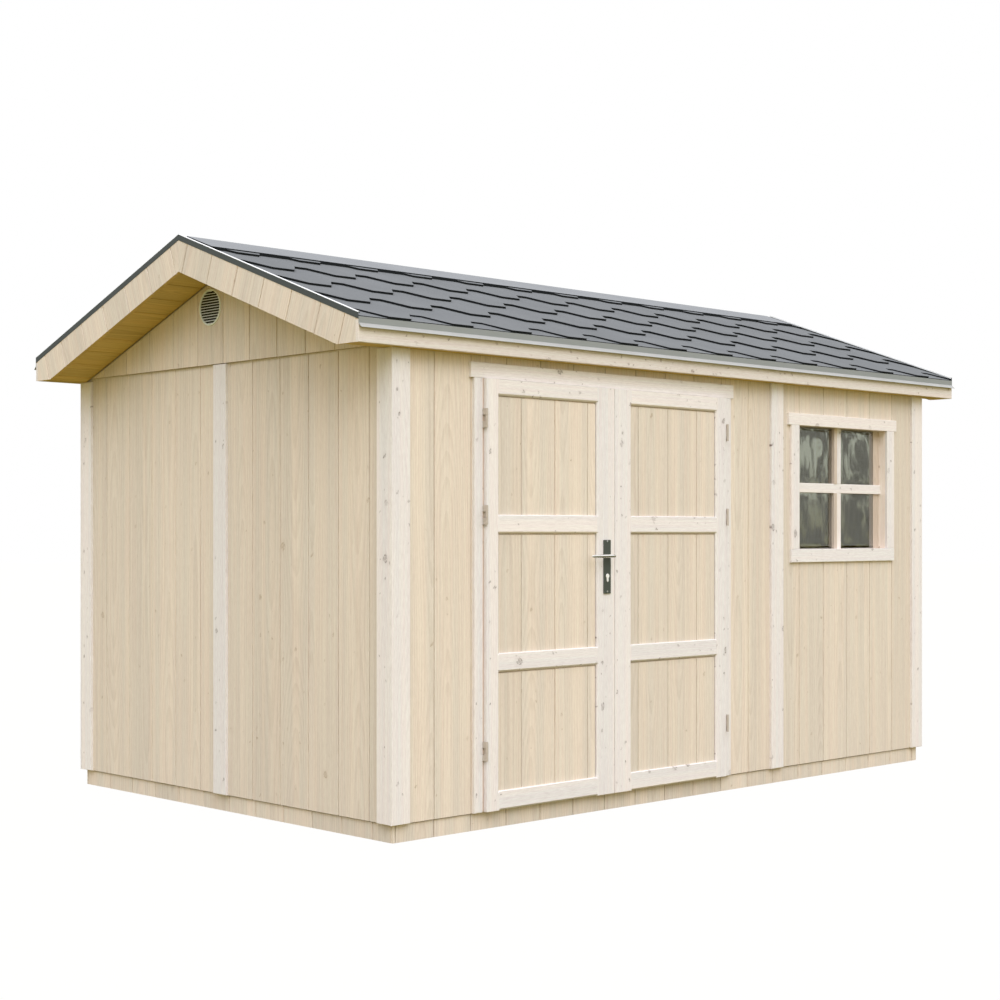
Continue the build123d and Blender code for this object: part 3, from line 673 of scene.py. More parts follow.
end_grain_painted_shade = softwood("end_grain_painted_shade", (0.42, 0.31, 0.15), (0.28, 0.20, 0.09), (0.3, 0.6, 0.3, 0.8))
for outward, name in ((-X, "left"), (X, "right")):
    gable = new_piece()
    front_rings = front_layer(gable_front)
    add_gable(gable, outward, gable_x, gable_foot, soffit_under - gable_gap, front_rings)
    back_rings = [(0, 0), (gable_thickness - gable_front, 0)]
    add_gable(gable, outward, gable_x - gable_front, wall_top, gable_high.z, back_rings)
    made = show(gable, f"{name}_gable_boards", board_wood, "shed", "cladding", f"{name}_gable")
    # Faces looking down, at the boards' feet, take a dark wood: end grain, darkened further as
    # painted shade under the proud panel.
    dress_faces(made, end_grain_painted_shade, -Z)

# Corner boards and battens. Pale knotty softwood, planed and eased, 98 mm wide. At each
# corner a board on the long side laps the edge of one on the end. Battens cover the
# joints between the wall panels.
trim_wood = softwood(
    "trim_wood",
    (0.96, 0.915, 0.875),
    (0.73, 0.665, 0.64),
    (0.12, 0.5, 0.5, 1.3),
    knots=(0.26, (0.17, 0.115, 0.10)),
    rings=0.008,
    tones=0.02,
)
trim_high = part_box("corner_trims")[1]
trim_x, trim_y, trim_top = trim_high.x, trim_high.y, trim_high.z
trim_width, batten_half = 0.098, 0.049

corners = new_piece()
for side_x in (-1, 1):
    for side_y in (-1, 1):
        low = (side_x * trim_x, side_y * trim_y, skirt_top)
        high = (side_x * (trim_x - trim_width), side_y * wall_y, trim_top)
        add_timber(corners, low, high, Z, side_y * Y)
        low = (side_x * trim_x, side_y * wall_y, skirt_top)
        high = (side_x * wall_x, side_y * (trim_y - trim_width), trim_top)
        add_timber(corners, low, high, Z, side_x * X)
show(corners, "corner_boards", trim_wood, "shed", "trim", "corner_trims")

battens = new_piece()
for side in (-1, 1):
    low = (panel_joint - batten_half, side * wall_y, skirt_top)
    high = (panel_joint + batten_half, side * trim_y, trim_top)
    add_timber(battens, low, high, Z, side * Y)
    low = (side * wall_x, -batten_half, skirt_top)
    high = (side * trim_x, batten_half, wall_top)
    add_timber(battens, low, high, Z, side * X)
show(battens, "batten_boards", trim_wood, "shed", "trim", "battens")

# Door casing. Two upright boards with a head board over them that runs past at both
# ends, nailed over the wall boards round the doorway.
casing_low, casing_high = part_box("door_casing")
casing_width, casing_ear, casing_head = 0.048, 0.020, 0.0655
casing_head_z = casing_high.z - casing_head
left_edge = casing_low.x + casing_ear + casing_width
right_edge = casing_high.x - casing_ear - casing_width

casing = new_piece()
low = (casing_low.x, -trim_y, casing_head_z)
add_timber(casing, low, (casing_high.x, -wall_y, casing_high.z), X, -Y)
for x0, x1 in ((left_edge - casing_width, left_edge), (right_edge, right_edge + casing_width)):
    add_timber(casing, (x0, -trim_y, casing_low.z), (x1, -wall_y, casing_head_z - 0.0005), Z, -Y)
show(casing, "door_casing_boards", trim_wood, "shed", "trim", "door_casing")

jamb_wood = softwood(
    "jamb_wood",
    (0.86, 0.70, 0.57),
    (0.56, 0.40, 0.29),
    (0.2, 0.8, 0.5, 0.8),
    knots=(0.5, (0.22, 0.12, 0.08)),
)
jambs = new_piece()
jamb_width = 0.0062
for x0, x1 in ((left_edge, left_edge + jamb_width), (right_edge, right_edge - jamb_width)):
    low, high = (x0, 0.002 - trim_y, casing_low.z + 0.004), (x1, -wall_y, casing_head_z - 0.001)
    add_timber(jambs, low, high, Z, -Y, radius=0.001)
show(jambs, "door_jamb_strips", jamb_wood, "shed", "trim")

threshold_low, threshold_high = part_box("door_threshold")
threshold = new_piece()
add_timber(threshold, threshold_low, threshold_high, X, Z)
show(threshold, "threshold_board", trim_wood, "shed", "trim", "door_threshold")

# Window. Casing boards stand on the wall round a lining of 18 mm boards. The pane sits
# in the lining against a bead behind it, with upright beads and a cross of bars on its
# front.
window_low, window_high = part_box("window_glass")
outer_low, outer_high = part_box("window_casing")
sill_z, head_z = window_low.z, window_high.z
window_left, window_right = window_low.x, window_high.x
window_ear = 0.022
casing_left, casing_right = outer_low.x + window_ear, outer_high.x - window_ear
casing = new_piece()
low, high = (outer_low.x, -trim_y, head_z), (outer_high.x, -wall_y, outer_high.z)
add_timber(casing, low, high, X, -Y)
low, high = (casing_left, -trim_y, outer_low.z), (casing_right, -wall_y, sill_z)
add_timber(casing, low, high, X, -Y)
for x0, x1 in ((casing_left, window_left), (window_right, casing_right)):
    add_timber(casing, (x0, -trim_y, sill_z + 0.0005), (x1, -wall_y, head_z - 0.0005), Z, -Y)
show(casing, "window_casing_boards", trim_wood, "shed", "trim", "window_casing")

lining_back = lining_high.y
bead_back, bead_width = window_high.y + 0.012, 0.016
bead_low, bead_high = sill_z + bead_width, head_z - bead_width
lining = new_piece()
for z0, z1, outward in ((lining_low.z, sill_z, Z), (head_z, lining_high.z, -Z)):
    add_timber(lining, (lining_low.x, -wall_y, z0), (lining_high.x, lining_back, z1), X, outward)
for x0, x1, outward in ((lining_low.x, window_left, X), (window_right, lining_high.x, -X)):
    add_timber(lining, (x0, -wall_y, sill_z), (x1, lining_back, head_z), Z, outward)
for x0, x1, z0, z1, along in (
    (window_left, window_right, sill_z, bead_low, X),
    (window_left, window_right, bead_high, head_z, X),
    (window_left, window_left + bead_width, bead_low, bead_high, Z),
    (window_right - bead_width, window_right, bead_low, bead_high, Z),
):
    add_timber(lining, (x0, window_high.y, z0), (x1, bead_back, z1), along, -Y)
lining_wood = softwood(
    "lining_wood",
    (0.95, 0.88, 0.81),
    (0.76, 0.64, 0.54),
    (0.2, 0.7, 0.6, 0.9),
    knots=(0.15, (0.30, 0.19, 0.14)),
    rings=0.008,
)
show(lining, "window_lining", lining_wood, "shed", "trim", "window_frame")

bar_front, bar_back = -1.162, window_low.y
middle_x, bar_z, bar_half = (window_left + window_right) / 2, 1.4917, 0.0245
bar_left, bar_right = middle_x - 0.012, middle_x + 0.027
bar_low, bar_high = bar_z - bar_half, bar_z + bar_half
bars = new_piece()
add_timber(bars, (window_left, bar_front, bar_low), (window_right, bar_back, bar_high), X, -Y)
pane_rows = ((sill_z, bar_low), (bar_high, head_z))
for z0, z1 in pane_rows:
    add_timber(bars, (bar_left, bar_front, z0), (bar_right, bar_back, z1), Z, -Y)
crossbars = show(bars, "window_bars", trim_wood, "shed", "trim")

middle_bead = (bar_left - 0.024, bar_left, 0.018)
left_bead = (window_left, window_left + 0.045, 0.003)
right_bead = (window_right - 0.052, window_right, 0.003)
beads = new_piece()
for z0, z1 in pane_rows:
    for x0, x1, depth in (middle_bead, left_bead, right_bead):
        add_timber(beads, (x0, bar_back - depth, z0), (x1, bar_back, z1), Z, -Y, radius=0.001)
# The upright beads are a darker tan wood, their colour painted shade in the depth of the reveal
# beside the pane.
bead_tan_painted_shade = softwood("bead_tan_painted_shade", (0.74, 0.63, 0.53), (0.50, 0.40, 0.32), (0.2, 0.8, 0.5, 0.8))
show(beads, "window_beads", bead_tan_painted_shade, "shed", "trim")
# The bars' side faces take the same darker wood, as painted shade on the bars' sides.
dress_faces(crossbars, bead_tan_painted_shade, X, -X)

pane, tree, shader = new_material("window_pane")
whole = object_place(tree)
axes = add_node(tree, "ShaderNodeSeparateXYZ", {0: whole}).outputs
bow = 0.0
for axis, low, middle, high in (
    (0, window_left, middle_x, window_right),
    (2, sill_z, bar_z, head_z),
):
    beyond = maths(tree, "GREATER_THAN", axes[axis], middle)
    start = maths(tree, "MULTIPLY_ADD", beyond, middle - low, low)
    width = maths(tree, "MULTIPLY_ADD", beyond, high - 2 * middle + low, middle - low)
    place = maths(tree, "DIVIDE", maths(tree, "SUBTRACT", axes[axis], start), width)
    side = maths(tree, "MULTIPLY_ADD", place, 2.0, -1.0)
    bow = maths(tree, "ADD", maths(tree, "POWER", maths(tree, "ABSOLUTE", side), 5.0), bow)
ripple = noise(tree, whole, scale=5, detail=1)
bow_depth, ripple_depth = -0.0012, 0.0004
ripple = maths(tree, "MULTIPLY", ripple, ripple_depth)
bow = maths(tree, "MULTIPLY_ADD", bow, bow_depth, ripple)
bent = add_node(tree, "ShaderNodeBump", {"Strength": 1, "Distance": 1, "Height": bow})
tree.links.new(bent.outputs[0], shader.inputs["Normal"])
shader.inputs["Base Color"].default_value = (0.66, 0.68, 0.62, 1)
shader.inputs["Roughness"].default_value = 0.01
shader.inputs["IOR"].default_value = 3.4
shader.inputs["Transmission Weight"].default_value = 1.0
dress(pane, "window_glass")

# Door leaves. Each is a frame of 24 mm stiles and rails round three board panels, with
# the frame's edges chamfered towards the panels. The boards run on behind the rails, and
# the left leaf carries a thin strip on its meeting edge.
panel_rows = ((0.160, 0.667), (0.746, 1.257), (1.336, 1.845))
leaf_bevel, rebate_gap, rebate_depth, edge_gap = 0.007, 0.0065, 0.009, 0.003
leaf_boards = {"left": (-1.197, 0.2075), "right": (-0.441, 0.2090)}
top_share, rail_share = 0.12, 0.4
strip_width, strip_front, strip_back = 0.0032, 0.0015, 0.014


def add_stile(piece, inner, outer, low, high):
    """Add an upright of a leaf, chamfered on its inner edge beside each panel."""
    inwards = 1 if inner > outer else -1
    bevelled = inner - inwards * leaf_bevel
    edge, face = [(inner, low.z)], [(inner, low.z)]
    for bottom, top in panel_rows:
        under, over = bottom - leaf_bevel, top + leaf_bevel
        edge += [(inner, under), (inner, bottom), (inner, top), (inner, over)]
        face += [(inner, under), (bevelled, under), (bevelled, over), (inner, over)]
    corners = [(inner, high.z), (outer, high.z), (outer, low.z)]
    stock = new_stock()
    first, count = len(piece["points"]), len(edge) + len(corners)
    for row, depth in ((face, 0), (edge, leaf_bevel), (edge, high.y - low.y)):
        for x, z in row + corners:
            piece["points"].append(Vector((x, low.y + depth, z)))
            across = x - (inner + outer) / 2 + stock[0]
            piece["grain"] += (across, z + stock[1], depth + stock[2])
            piece["tone"].append(stock[3])
    loops = [range(first, first + count)]
    loops.append(range(first + 3 * count - 1, first + 2 * count - 1, -1))
    for a in range(first, first + 2 * count):
        b = a + 1 if (a - first + 1) % count else a + 1 - count
        loops += [(a, a + count, b + count), (a, b + count, b)]
    piece["faces"] += [tuple(loop)[::inwards] for loop in loops]


for name in ("left", "right"):
    leaf_low, leaf_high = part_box(f"{name}_door_frame")
    panel_low, panel_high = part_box(f"{name}_door_boards")
    leaf_thickness = leaf_high.y - leaf_low.y
    leaf = new_piece()
    add_stile(leaf, panel_low.x, leaf_low.x, leaf_low, leaf_high)
    add_stile(leaf, panel_high.x, leaf_high.x, leaf_low, leaf_high)
    rails = [leaf_low.z, *(z for row in panel_rows for z in row), leaf_high.z]
    for z0, z1 in zip(rails[::2], rails[1::2]):
        low, high = Vector((panel_low.x, leaf_low.y, z0)), Vector((panel_high.x, leaf_high.y, z1))
        rings = [(0, leaf_bevel), (leaf_bevel, 0), (leaf_thickness, 0)]
        share = top_share if z1 == leaf_high.z else rail_share
        corners = face_corners(low, high, -Y)
        add_board(leaf, corners, X, -Y, rings, sides_only=True, first_share=share)
    if name == "left":
        low = (leaf_high.x, leaf_low.y + strip_front, leaf_low.z)
        high = (leaf_high.x + strip_width, leaf_low.y + strip_back, leaf_high.z)
        add_timber(leaf, low, high, Z, -Y, radius=0.0006)
    show(leaf, f"{name}_leaf_frame", trim_wood, f"{name}_door", "trim", f"{name}_door_frame")

    panels = new_piece()
    rebate_y = panel_low.y + rebate_depth
    start, pitch = leaf_boards[name]
    for a, b in strips(panel_low.x, panel_high.x, start, pitch):
        stock = new_stock()
        front_b = b - edge_gap if b == panel_high.x else b
        for bottom, top in panel_rows:
            low = Vector((a, panel_low.y, bottom))
            high = Vector((front_b, rebate_y, top - rebate_gap))
            rings = front_layer(rebate_depth)
            add_board(panels, face_corners(low, high, -Y), Z, -Y, rings, True, stock)
            low, high = Vector((a, rebate_y, bottom)), Vector((b, panel_high.y, top))
            rings = [(0, 0), (panel_high.y - rebate_y, 0)]
            add_board(panels, face_corners(low, high, -Y), Z, -Y, rings, True, stock)
    nodes = f"{name}_door_boards"
    show(panels, f"{name}_leaf_boards", board_wood, f"{name}_door", "cladding", nodes)

# Eaves fascias. One long pale board closes each eaves, its top cut to the roof's pitch.
pitch = math.radians(20)
slope = math.tan(pitch)
fascia_low, fascia_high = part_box("eaves_fascias")
verge_x, eaves_y, soffit_level = fascia_high.x, fascia_high.y, fascia_low.z
fascia_thickness = 0.018
fascias = new_piece()
for side in (-1, 1):
    add_timber(
        fascias,
        (-verge_x, side * eaves_y, soffit_level),
        (verge_x, side * (eaves_y - fascia_thickness), fascia_high.z - slope * fascia_thickness),
        X,
        side * Y,
    )
fascia_wood = softwood(
    "fascia_wood",
    (0.93, 0.87, 0.80),
    (0.70, 0.60, 0.53),
    (0.15, 0.55, 0.6, 1.3),
    knots=(0.45, (0.20, 0.12, 0.08)),
)
show(fascias, "fascia_boards", fascia_wood, "shed", "trim", "eaves_fascias")

# Verge boards. Short boards stand square to the slope along each verge, cut plumb at
# the ridge and level over the eaves soffit.
verge_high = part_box("verge_fascias")[1]
fascia_back_y = verge_high.y
deck_under = verge_high.z + slope * 0.0005
board_depth = 0.131 / math.cos(pitch)
verge_joints = [0.068 + 0.190 * n for n in range(6)] + [1.173]
under = deck_under - board_depth
verges = new_piece()
for outward in (-X, X):
    face = outward * verge_high.x
    for side in (-1, 1):
        rim = [
            (0, under),
            ((under - soffit_level) / slope, soffit_level),
            (fascia_back_y, soffit_level),
            (fascia_back_y, deck_under - slope * fascia_back_y),
            (0, deck_under),
        ]
        whole = [face + Y * side * y + Z * z for y, z in rim]
        down = Vector((0, side * math.cos(pitch), -math.sin(pitch)))
        along = Vector((0, side * math.sin(pitch), math.cos(pitch)))
        places = [face + Y * side * y + Z * (deck_under - slope * y) for y in verge_joints]
        for low, high in zip([None, *places], [*places, None]):
            board = whole if low is None else clip(whole, low, down)
            if high is not None and board:
                board = clip(board, high, -down)
            if len(board) > 2:
                add_board(verges, board, along, outward, tongued(fascia_thickness), True)
verge_boards = show(verges, "verge_boards", board_wood, "shed", "cladding", "verge_fascias")

# Soffits. Thin boards run with the ridge under the verges and along the eaves. Their wood is darker
# and more golden than the walls, partly its own tone and partly painted shade for where they hang.
soffit_tone_painted_shade = softwood(
    "soffit_tone_painted_shade", (0.78, 0.57, 0.17), (0.46, 0.30, 0.07), (0.25, 0.7, 0.5, 0.5)
)
soffit_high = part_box("verge_soffits")[1]
soffit_thickness = 0.012
soffit_pitch = 0.146
soffits = new_piece()
for side_x in (-1, 1):
    x0, x1 = side_x * gable_x, side_x * (verge_x - fascia_thickness)
    for side in (-1, 1):
        down = Vector((0, side * math.cos(pitch), -math.sin(pitch)))
        outward = -Vector((0, side * math.sin(pitch), math.cos(pitch)))
        top = Vector((0, side * 0.0005, soffit_high.z - soffit_thickness / math.cos(pitch)))
        length = (soffit_high.y - 0.0005) / math.cos(pitch)
        for a, b in strips(0, length, 0, soffit_pitch):
            corners = [
                top + down * a + X * x0,
                top + down * b + X * x0,
                top + down * b + X * x1,
                top + down * a + X * x1,
            ]
            add_board(soffits, corners, X, outward, tongued(soffit_thickness), True)
show(soffits, "verge_soffit_boards", soffit_tone_painted_shade, "shed", "soffit", "verge_soffits")
# The verge boards' undersides take the same darker wood as painted shade.
dress_faces(verge_boards, soffit_tone_painted_shade, -Z)

level_low, level_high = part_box("eaves_soffits")
level_rings = [(0, 0), (level_high.z - level_low.z, 0)]
eaves_soffits = new_piece()
for side in (-1, 1):
    for x0, x1 in ((level_low.x, -gable_x), (-gable_x, gable_x), (gable_x, level_high.x)):
        inner = wall_y if x1 == gable_x else soffit_high.y
        rim = ((x0, inner), (x1, inner), (x1, level_high.y), (x0, level_high.y))
        rim = [Vector((x, side * y, level_low.z)) for x, y in rim]
        add_board(eaves_soffits, rim, X, -Z, level_rings)
show(eaves_soffits, "eaves_soffit_boards", soffit_tone_painted_shade, "shed", "soffit", "eaves_soffits")

# Roof sheathing and shingles. Thin boarding lies on the rafters. Bitumen strips with grey
# mineral grit, cut to hexagonal tabs, are nailed on it in rows that overlap, over a plain
# starter strip along each eaves. Their thick cut edges are near black: the bitumen, and
# painted shade under each tab's edge.
roof_peak, slope_length = 2.5714, eaves_y / math.cos(pitch)
tab_pitch, row_pitch, tab_depth = 0.3427, 0.2745, 0.109
row_start, tab_start = -0.001, -1.7903
row_reach, lower_rise, upper_rise = 0.406, 0.0080, -0.006
lower_sheet, upper_sheet = 0.0100, 0.0012
starter_start, starter_reach, starter_fall, starter_sheet = -0.0015, 0.30, 0.0062, 0.003
rafter_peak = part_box("rafters")[1].z


def new_shell():
    """Empty lists for a piece without grain."""
    return {"points": [], "faces": [], "slots": []}


def add_rings(shell, rings, side_slots=(0,), end_slots=(0, 0)):
    """Join rings of points into a tube.

    side_slots are the material slots of its sides, taken in turn, and end_slots those
    of its ends, or None for an open end.
    """
    first, count = len(shell["points"]), len(rings[0])
    for ring in rings:
        shell["points"] += ring
    for start in range(first, len(shell["points"]) - count, count):
        for i in range(count):
            a, b = start + i, start + (i + 1) % count
            shell["faces"].append((a, b, b + count, a + count))
            shell["slots"].append(side_slots[i % len(side_slots)])
    for start, slot in zip((first, len(shell["points"]) - count), end_slots):
        if slot is not None:
            shell["faces"].append(tuple(range(start, start + count)))
            shell["slots"].append(slot)


def show_shell(shell, name, materials, body, slot, *nodes):
    """Make the shell's object and stand it for its solids."""
    mesh = bpy.data.meshes.new(name)
    mesh.from_pydata(shell["points"], [], shell["faces"])
    sides = bmesh.new()
    sides.from_mesh(mesh)
    bmesh.ops.recalc_face_normals(sides, faces=sides.faces)
    sides.to_mesh(mesh)
    sides.free()
    for material in materials:
        mesh.materials.append(material)
    mesh.polygons.foreach_set("material_index", shell["slots"])
    return stand(name, mesh, body, nodes)


def along_ridge(section, reach):
    """A section square to the ridge, at both ends of the roof."""
    return [[Vector((x, y, z)) for y, z in section] for x in (-reach, reach)]


def grit_material(name, pale, deep):
    """Mineral grit pressed into bitumen."""
    made, tree, shader = new_material(name)
    whole = object_place(tree)
    grains = noise(tree, whole, scale=900, detail=2)
    patches = noise(tree, whole, scale=3.5, detail=3)
    depth = maths(tree, "MULTIPLY_ADD", grains, 0.55, maths(tree, "MULTIPLY", patches, 0.45))
    colour = blend_colour(tree, ramp(tree, depth, 0.25, 0.75), (*pale, 1), (*deep, 1))
    tree.links.new(colour, shader.inputs["Base Color"])
    relief = {"Strength": 0.35, "Distance": 0.0006, "Height": grains}
    bump = add_node(tree, "ShaderNodeBump", relief)
    tree.links.new(bump.outputs[0], shader.inputs["Normal"])
    shader.inputs["Roughness"].default_value = 0.9
    shader.inputs["Specular IOR Level"].default_value = 0.2
    return made


grit = grit_material("shingle_grit", (0.176, 0.183, 0.183), (0.139, 0.145, 0.145))
# Near-black edge material: bitumen, darkened as painted shade under the tabs and the cap.
black_edge_painted_shade, tree, shader = new_material("bitumen_black_painted_shade")
shader.inputs["Base Color"].default_value = (0.012, 0.014, 0.015, 1)
shader.inputs["Roughness"].default_value = 0.85
shader.inputs["Specular IOR Level"].default_value = 0.1


def tooth_line(start, end):
    """Lower edge of a strip, as X and rise, between two X."""
    shape = ((0, 1), (0.067, 1), (0.147, 0), (0.265, 0))
    points = []
    for n in range(-40, 41):
        points += [(tab_start + n * tab_pitch + x, rise * tab_depth) for x, rise in shape]
    made = []
    for (x0, s0), (x1, s1) in zip(points, points[1:]):
        for edge in (start, end):
            if x0 <= edge < x1:
                made.append((edge, s0 + (s1 - s0) * (edge - x0) / (x1 - x0)))
        if start < x1 < end:
            made.append((x1, s1))
    return made


shingle_end = verge_x - 0.006
covering = new_shell()
for side in (-1, 1):
    up = Vector((0, -side * math.cos(pitch), math.sin(pitch)))
    out = Vector((0, side * math.sin(pitch), math.cos(pitch)))
    eaves = Vector((0, side * eaves_y, roof_peak - slope * eaves_y))
    places = [(x, s) for s in (starter_start, starter_reach) for x in (-shingle_end, shingle_end)]
    places[2:] = reversed(places[2:])
    rings = [
        [
            eaves + X * x + up * s - out * (starter_fall * s / starter_reach + sheet)
            for x, s in places
        ]
        for sheet in (0, starter_sheet)
    ]
    add_rings(covering, rings, (1,), (0, 1))
    for row in range(5):
        start = row_start + row * row_pitch
        reach = min(row_reach, slope_length - start - 0.003)
        line = tooth_line(-shingle_end, shingle_end)
        line += [(shingle_end, reach), (-shingle_end, reach)]
        rings = [[], []]
        for x, s in line:
            share = s / row_reach
            top = lower_rise + (upper_rise - lower_rise) * share
            sheet = lower_sheet + (upper_sheet - lower_sheet) * share
            place = eaves - X * side * x + up * (start + s)
            rings[0].append(place + out * top)
            rings[1].append(place + out * (top - sheet))
        add_rings(covering, rings, (1,), (0, 1))

deck_edge, deck_top = eaves_y - 0.001, roof_peak - 0.0105
section = [
    (y, peak - slope * abs(y))
    for peak, places in (
        (deck_top, (-deck_edge, 0, deck_edge)),
        (rafter_peak + 0.0004, (deck_edge, 0, -deck_edge)),
    )
    for y in places
]
deck = new_shell()
add_rings(deck, along_ridge(section, verge_x - 0.0005))
show_shell(deck, "roof_sheathing", (sawn["X"],), "shed", "structure", "roof_deck")
show_shell(covering, "shingle_rows", (grit, black_edge_painted_shade), "shed", "shingle", "shingles")

# Ridge cap. A strip of the same felt is bent over the ridge and covers the last row. Its
# deep edges and underside are near black, as painted shade under its raised edge.
cap_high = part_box("ridge_cap")[1]
cap_grit = grit_material("cap_grit", (0.262, 0.270, 0.270), (0.220, 0.228, 0.229))
cap_x, cap_y = cap_high.x, cap_high.y
cap_peak, cap_edge, cap_sheet = 2.5815, 2.5145, 0.0150
section = [
    (-cap_y, cap_edge),
    (0, cap_peak),
    (cap_y, cap_edge),
    (cap_y, cap_edge - cap_sheet),
    (0, cap_peak - 0.008),
    (-cap_y, cap_edge - cap_sheet),
]
cap = new_shell()
add_rings(cap, along_ridge(section, cap_x), (0, 0, 1, 1, 1, 1), (1, 1))
show_shell(cap, "ridge_strip", (cap_grit, black_edge_painted_shade), "shed", "shingle", "ridge_cap")

# Drips and verge trims. Folded sheet steel with a satin coating: grey-green along the
# eaves, dark grey on the verges, where the top is rolled to a narrow rim. The drips' lips
# are painted a lighter grey and the verge rims near white, both painted highlights where
# the sheet faces the sky.


def sheet_metal(name, colour, rough, metal=0.0):
    """Coated or bare sheet."""
    made, tree, shader = new_material(name)
    whole = object_place(tree)
    clouds = noise(tree, whole, scale=6, detail=4)
    coat = blend_colour(tree, clouds, (*colour, 1), (*(0.86 * c for c in colour), 1))
    tree.links.new(coat, shader.inputs["Base Color"])
    sheen = ramp(tree, clouds, 0.2, 0.8, rough - 0.05, rough + 0.08)
    tree.links.new(sheen, shader.inputs["Roughness"])
    shader.inputs["Metallic"].default_value = metal
    return made


drip_coat = sheet_metal("drip_coat", (0.31, 0.33, 0.33), 0.45)
# Lighter copy of the drip coat, a painted highlight on the lip.
lip_painted_highlight = sheet_metal("lip_painted_highlight", (0.43, 0.43, 0.415), 0.4)
verge_coat = sheet_metal("verge_coat", (0.068, 0.081, 0.084), 0.5)
# Near-white copy for the verge rim, a painted highlight of the sky on its top.
rim_painted_highlight = sheet_metal("rim_painted_highlight", (0.95, 0.96, 0.96), 0.3)

drip_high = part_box("eaves_drips")[1]
bend_z, lap, kink = roof_peak - slope * eaves_y - 0.0034, 0.10, 0.02
face_foot, lip_foot, sheet = 2.0845, 2.0674, 0.0012
drip_face = eaves_y + 0.0014
section = [
    (eaves_y - lap, bend_z + slope * lap - 0.0036),
    (eaves_y - kink, bend_z + slope * kink - 0.0008),
    (drip_face, bend_z - 0.0002),
    (drip_face, face_foot),
    (drip_high.y - 0.0002, lip_foot),
    (drip_high.y - 0.0010, lip_foot - 0.0008),
    (drip_face - sheet, face_foot - 0.0006),
    (drip_face - sheet, bend_z - 0.0014),
    (eaves_y - kink, bend_z + slope * kink - 0.0020),
    (eaves_y - lap, bend_z + slope * lap - 0.0048),
]
drips = new_shell()
for side in (-1, 1):
    rings = along_ridge([(side * y, z) for y, z in section], drip_high.x)
    add_rings(drips, rings, (0, 0, 0, 1, 1, 0, 0, 0, 0, 0))
show_shell(drips, "drip_sheets", (drip_coat, lip_painted_highlight), "shed", "drip_sheet", "eaves_drips")

flashing_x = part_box("verge_flashings")[1].x
rim_width, rim_depth, rim_round = 0.008, 0.007, 0.0015
flashing_top = cad_high.z - 0.0002
section = [
    (verge_x, deck_under),
    (flashing_x, deck_under),
    (flashing_x, flashing_top - 2 * rim_round),
    (flashing_x - rim_round, flashing_top),
    (flashing_x - rim_width, flashing_top),
    (flashing_x - rim_width, flashing_top - rim_depth),
    (verge_x, flashing_top - rim_depth),
]
trims = new_shell()
for side_x in (-1, 1):
    for side in (-1, 1):
        rings = [
            [Vector((side_x * x, side * y, z - slope * y)) for x, z in section]
            for y in (0.0005, eaves_y)
        ]
        add_rings(trims, rings, (0, 0, 1, 1, 1, 0, 0))
show_shell(trims, "verge_trims", (verge_coat, rim_painted_highlight), "shed", "verge_sheet", "verge_flashings")

# Gable vents. Round moulded rings with slanted louvres, pressed into the holes in the
# gables. A near-black disc lies close behind the louvres as painted shade for the dark inside.
vent_coat = sheet_metal("vent_coat", (0.93, 1.0, 1.0), 0.5)
# Near-black sheet, painted shade seen between the louvres.
vent_back_painted_shade = sheet_metal("vent_back_painted_shade", (0.02, 0.02, 0.018), 0.8)
vent_radius, vent_proud = vent_high.y - vent_y, vent_high.x - gable_x
net_radius = vent_radius - 0.0075
louvre_pitch, louvre_steps = 0.0122, 6
ring_profile = [
    (vent_radius, -vent_proud),
    (vent_radius, -0.002),
    (vent_radius - 0.002, 0),
    (net_radius + 0.001, 0),
    (net_radius, -0.001),
    (net_radius - 0.0004, 0.0006 - vent_proud),
]
louvre_section = ((-0.0006, -0.0024), (-0.0006, -0.0004), (-0.005, 0.0022), (-0.005, 0.0004))


def circle(middle, across, up, count):
    """Points of a circle or an ellipse round its middle."""
    turns = [2 * math.pi * n / count for n in range(count)]
    return [middle + across * math.cos(turn) + up * math.sin(turn) for turn in turns]


grilles = new_shell()
for side in (-1, 1):
    middle = Vector((side * vent_high.x, vent_y, vent_z))
    rings = [circle(middle + X * side * depth, Z * r, Y * r, 48) for r, depth in ring_profile]
    add_rings(grilles, rings, (0,), (None, 1))
    for n in range(-louvre_steps, louvre_steps + 1):
        rise = n * louvre_pitch
        reach = math.sqrt((net_radius - 0.001) ** 2 - rise**2)
        rings = [
            [middle + X * side * depth + Y * y + Z * (rise + z) for depth, z in louvre_section]
            for y in (-reach, reach)
        ]
        add_rings(grilles, rings, (0,), (None, None))
show_shell(grilles, "vent_grilles", (vent_coat, vent_back_painted_shade), "shed", "vent", "gable_vents")

# Hinges. Galvanised butt hinges stand between the leaf and the casing.
hinge_steel = sheet_metal("hinge_steel", (0.60, 0.53, 0.46), 0.5, metal=0.1)
dress(hinge_steel, "frame_hinges", "left_door_hinges", "right_door_hinges")

# Handle. A satin lever on long dark plates, with a bright profile cylinder below it. Each
# side of the leaf has a plate with two screws, a collar round the cylinder and a grip, and
# one spindle joins the grips.
plate_coat = sheet_metal("plate_coat", (0.072, 0.086, 0.072), 0.45)
cylinder_metal = sheet_metal("cylinder_metal", (0.97, 0.97, 0.96), 0.25)
screw_steel = sheet_metal("screw_steel", (0.55, 0.57, 0.55), 0.3, metal=0.4)
dress(plate_coat, "handle_plates")
dress(cylinder_metal, "lock_cylinder")
handle_x, lever_z, key_z = -0.6665, 1.154, 1.064
screw_levels, screw_radius = (1.221, 0.994), 0.0042
collar_radius, collar_half, collar_foot, collar_tip = 0.0108, 0.0050, 1.041, 1.037
plate_low, plate_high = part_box("handle_plates")

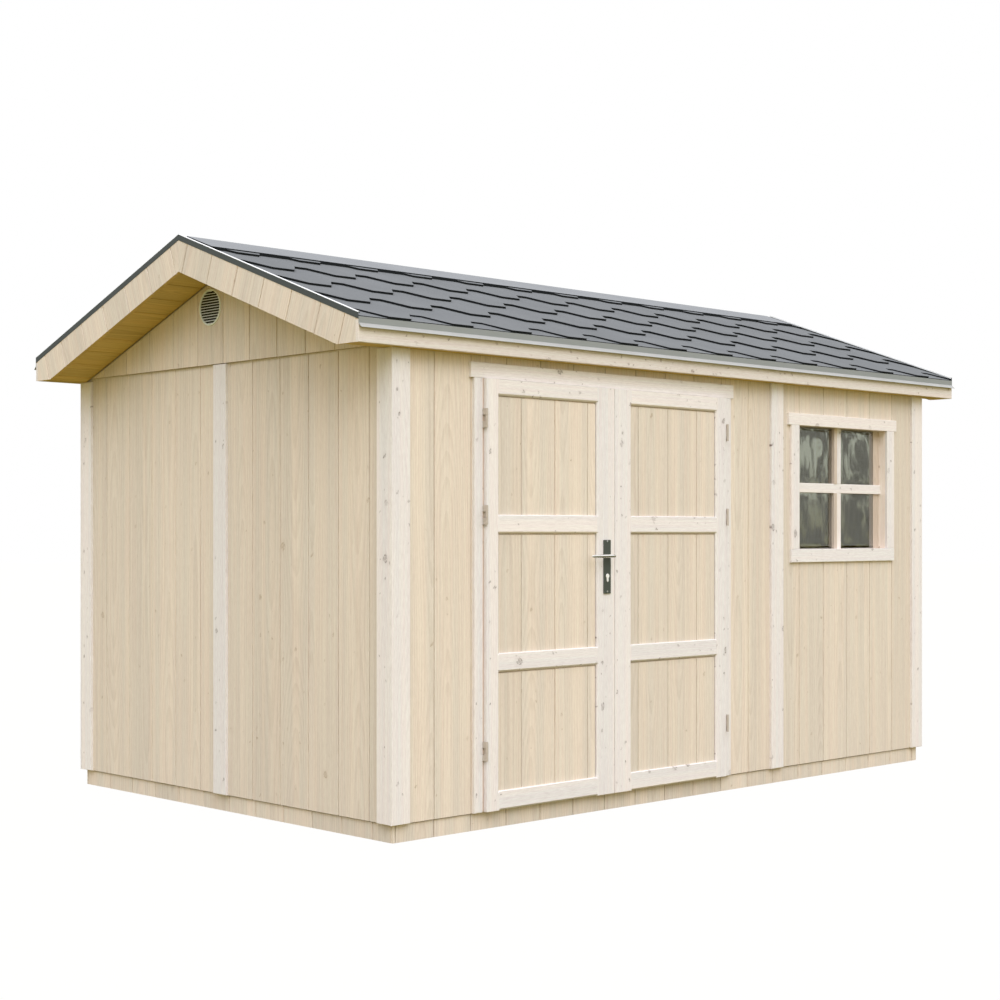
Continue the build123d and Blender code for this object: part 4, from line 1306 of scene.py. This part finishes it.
turns = [math.radians(-145 + 290 * n / 20) for n in range(21)]
collar = [
    (handle_x + collar_radius * math.sin(a), key_z + collar_radius * math.cos(a)) for a in turns
]
collar += [
    (handle_x + collar_half, collar_foot),
    (handle_x, collar_tip),
    (handle_x - collar_half, collar_foot),
]
screws, collars = new_shell(), new_shell()
for y, outward in ((plate_low.y, -Y), (plate_high.y, Y)):
    for z in screw_levels:
        middle = Vector((handle_x, y, z))
        rings = [
            circle(middle + outward * depth, X * radius, Z * radius, 16)
            for depth, radius in ((0, screw_radius), (0.001, 0.8 * screw_radius))
        ]
        add_rings(screws, rings)
    rings = [[Vector((x, y, z)) + outward * depth for x, z in collar] for depth in (0, 0.0012)]
    add_rings(collars, rings)
show_shell(screws, "plate_screws", (screw_steel,), "left_door", "plate")
show_shell(collars, "cylinder_collars", (cylinder_metal,), "left_door", "cylinder")

lever_metal, tree, shader = new_material("lever_metal")
shader.inputs["Base Color"].default_value = (0.95, 0.95, 0.93, 1)
shader.inputs["Metallic"].default_value = 1.0
shader.inputs["Roughness"].default_value = 0.2
lever_low, lever_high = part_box("door_lever")
grip_tip, grip_end = lever_low.x - 0.005, lever_high.x + 0.011
grip_levels = (lever_low.y + 0.0072, lever_high.y - 0.0072)
spindle_radius = 0.0075
stations = [
    (grip_end - 0.0002, 0.0005, 0.0005),
    (grip_end - 0.0010, 0.0050, 0.0045),
    (grip_end - 0.0040, 0.0076, 0.0066),
    (handle_x - 0.012, 0.0082, 0.0070),
    (handle_x - 0.060, 0.0078, 0.0066),
    (grip_tip + 0.020, 0.0066, 0.0058),
    (grip_tip + 0.006, 0.0052, 0.0047),
    (grip_tip + 0.0015, 0.0032, 0.0030),
    (grip_tip + 0.0002, 0.0004, 0.0004),
]
grips = new_shell()
for y in grip_levels:
    rings = [circle(Vector((x, y, lever_z)), Z * tall, Y * deep, 20) for x, tall, deep in stations]
    add_rings(grips, rings)
middles = [Vector((handle_x, y, lever_z)) for y in grip_levels]
add_rings(grips, [circle(m, X * spindle_radius, Z * spindle_radius, 20) for m in middles])
lever = show_shell(grips, "lever_grip", (lever_metal,), "lever", "lever", "door_lever")
for face in lever.data.polygons:
    face.use_smooth = len(face.vertices) == 4
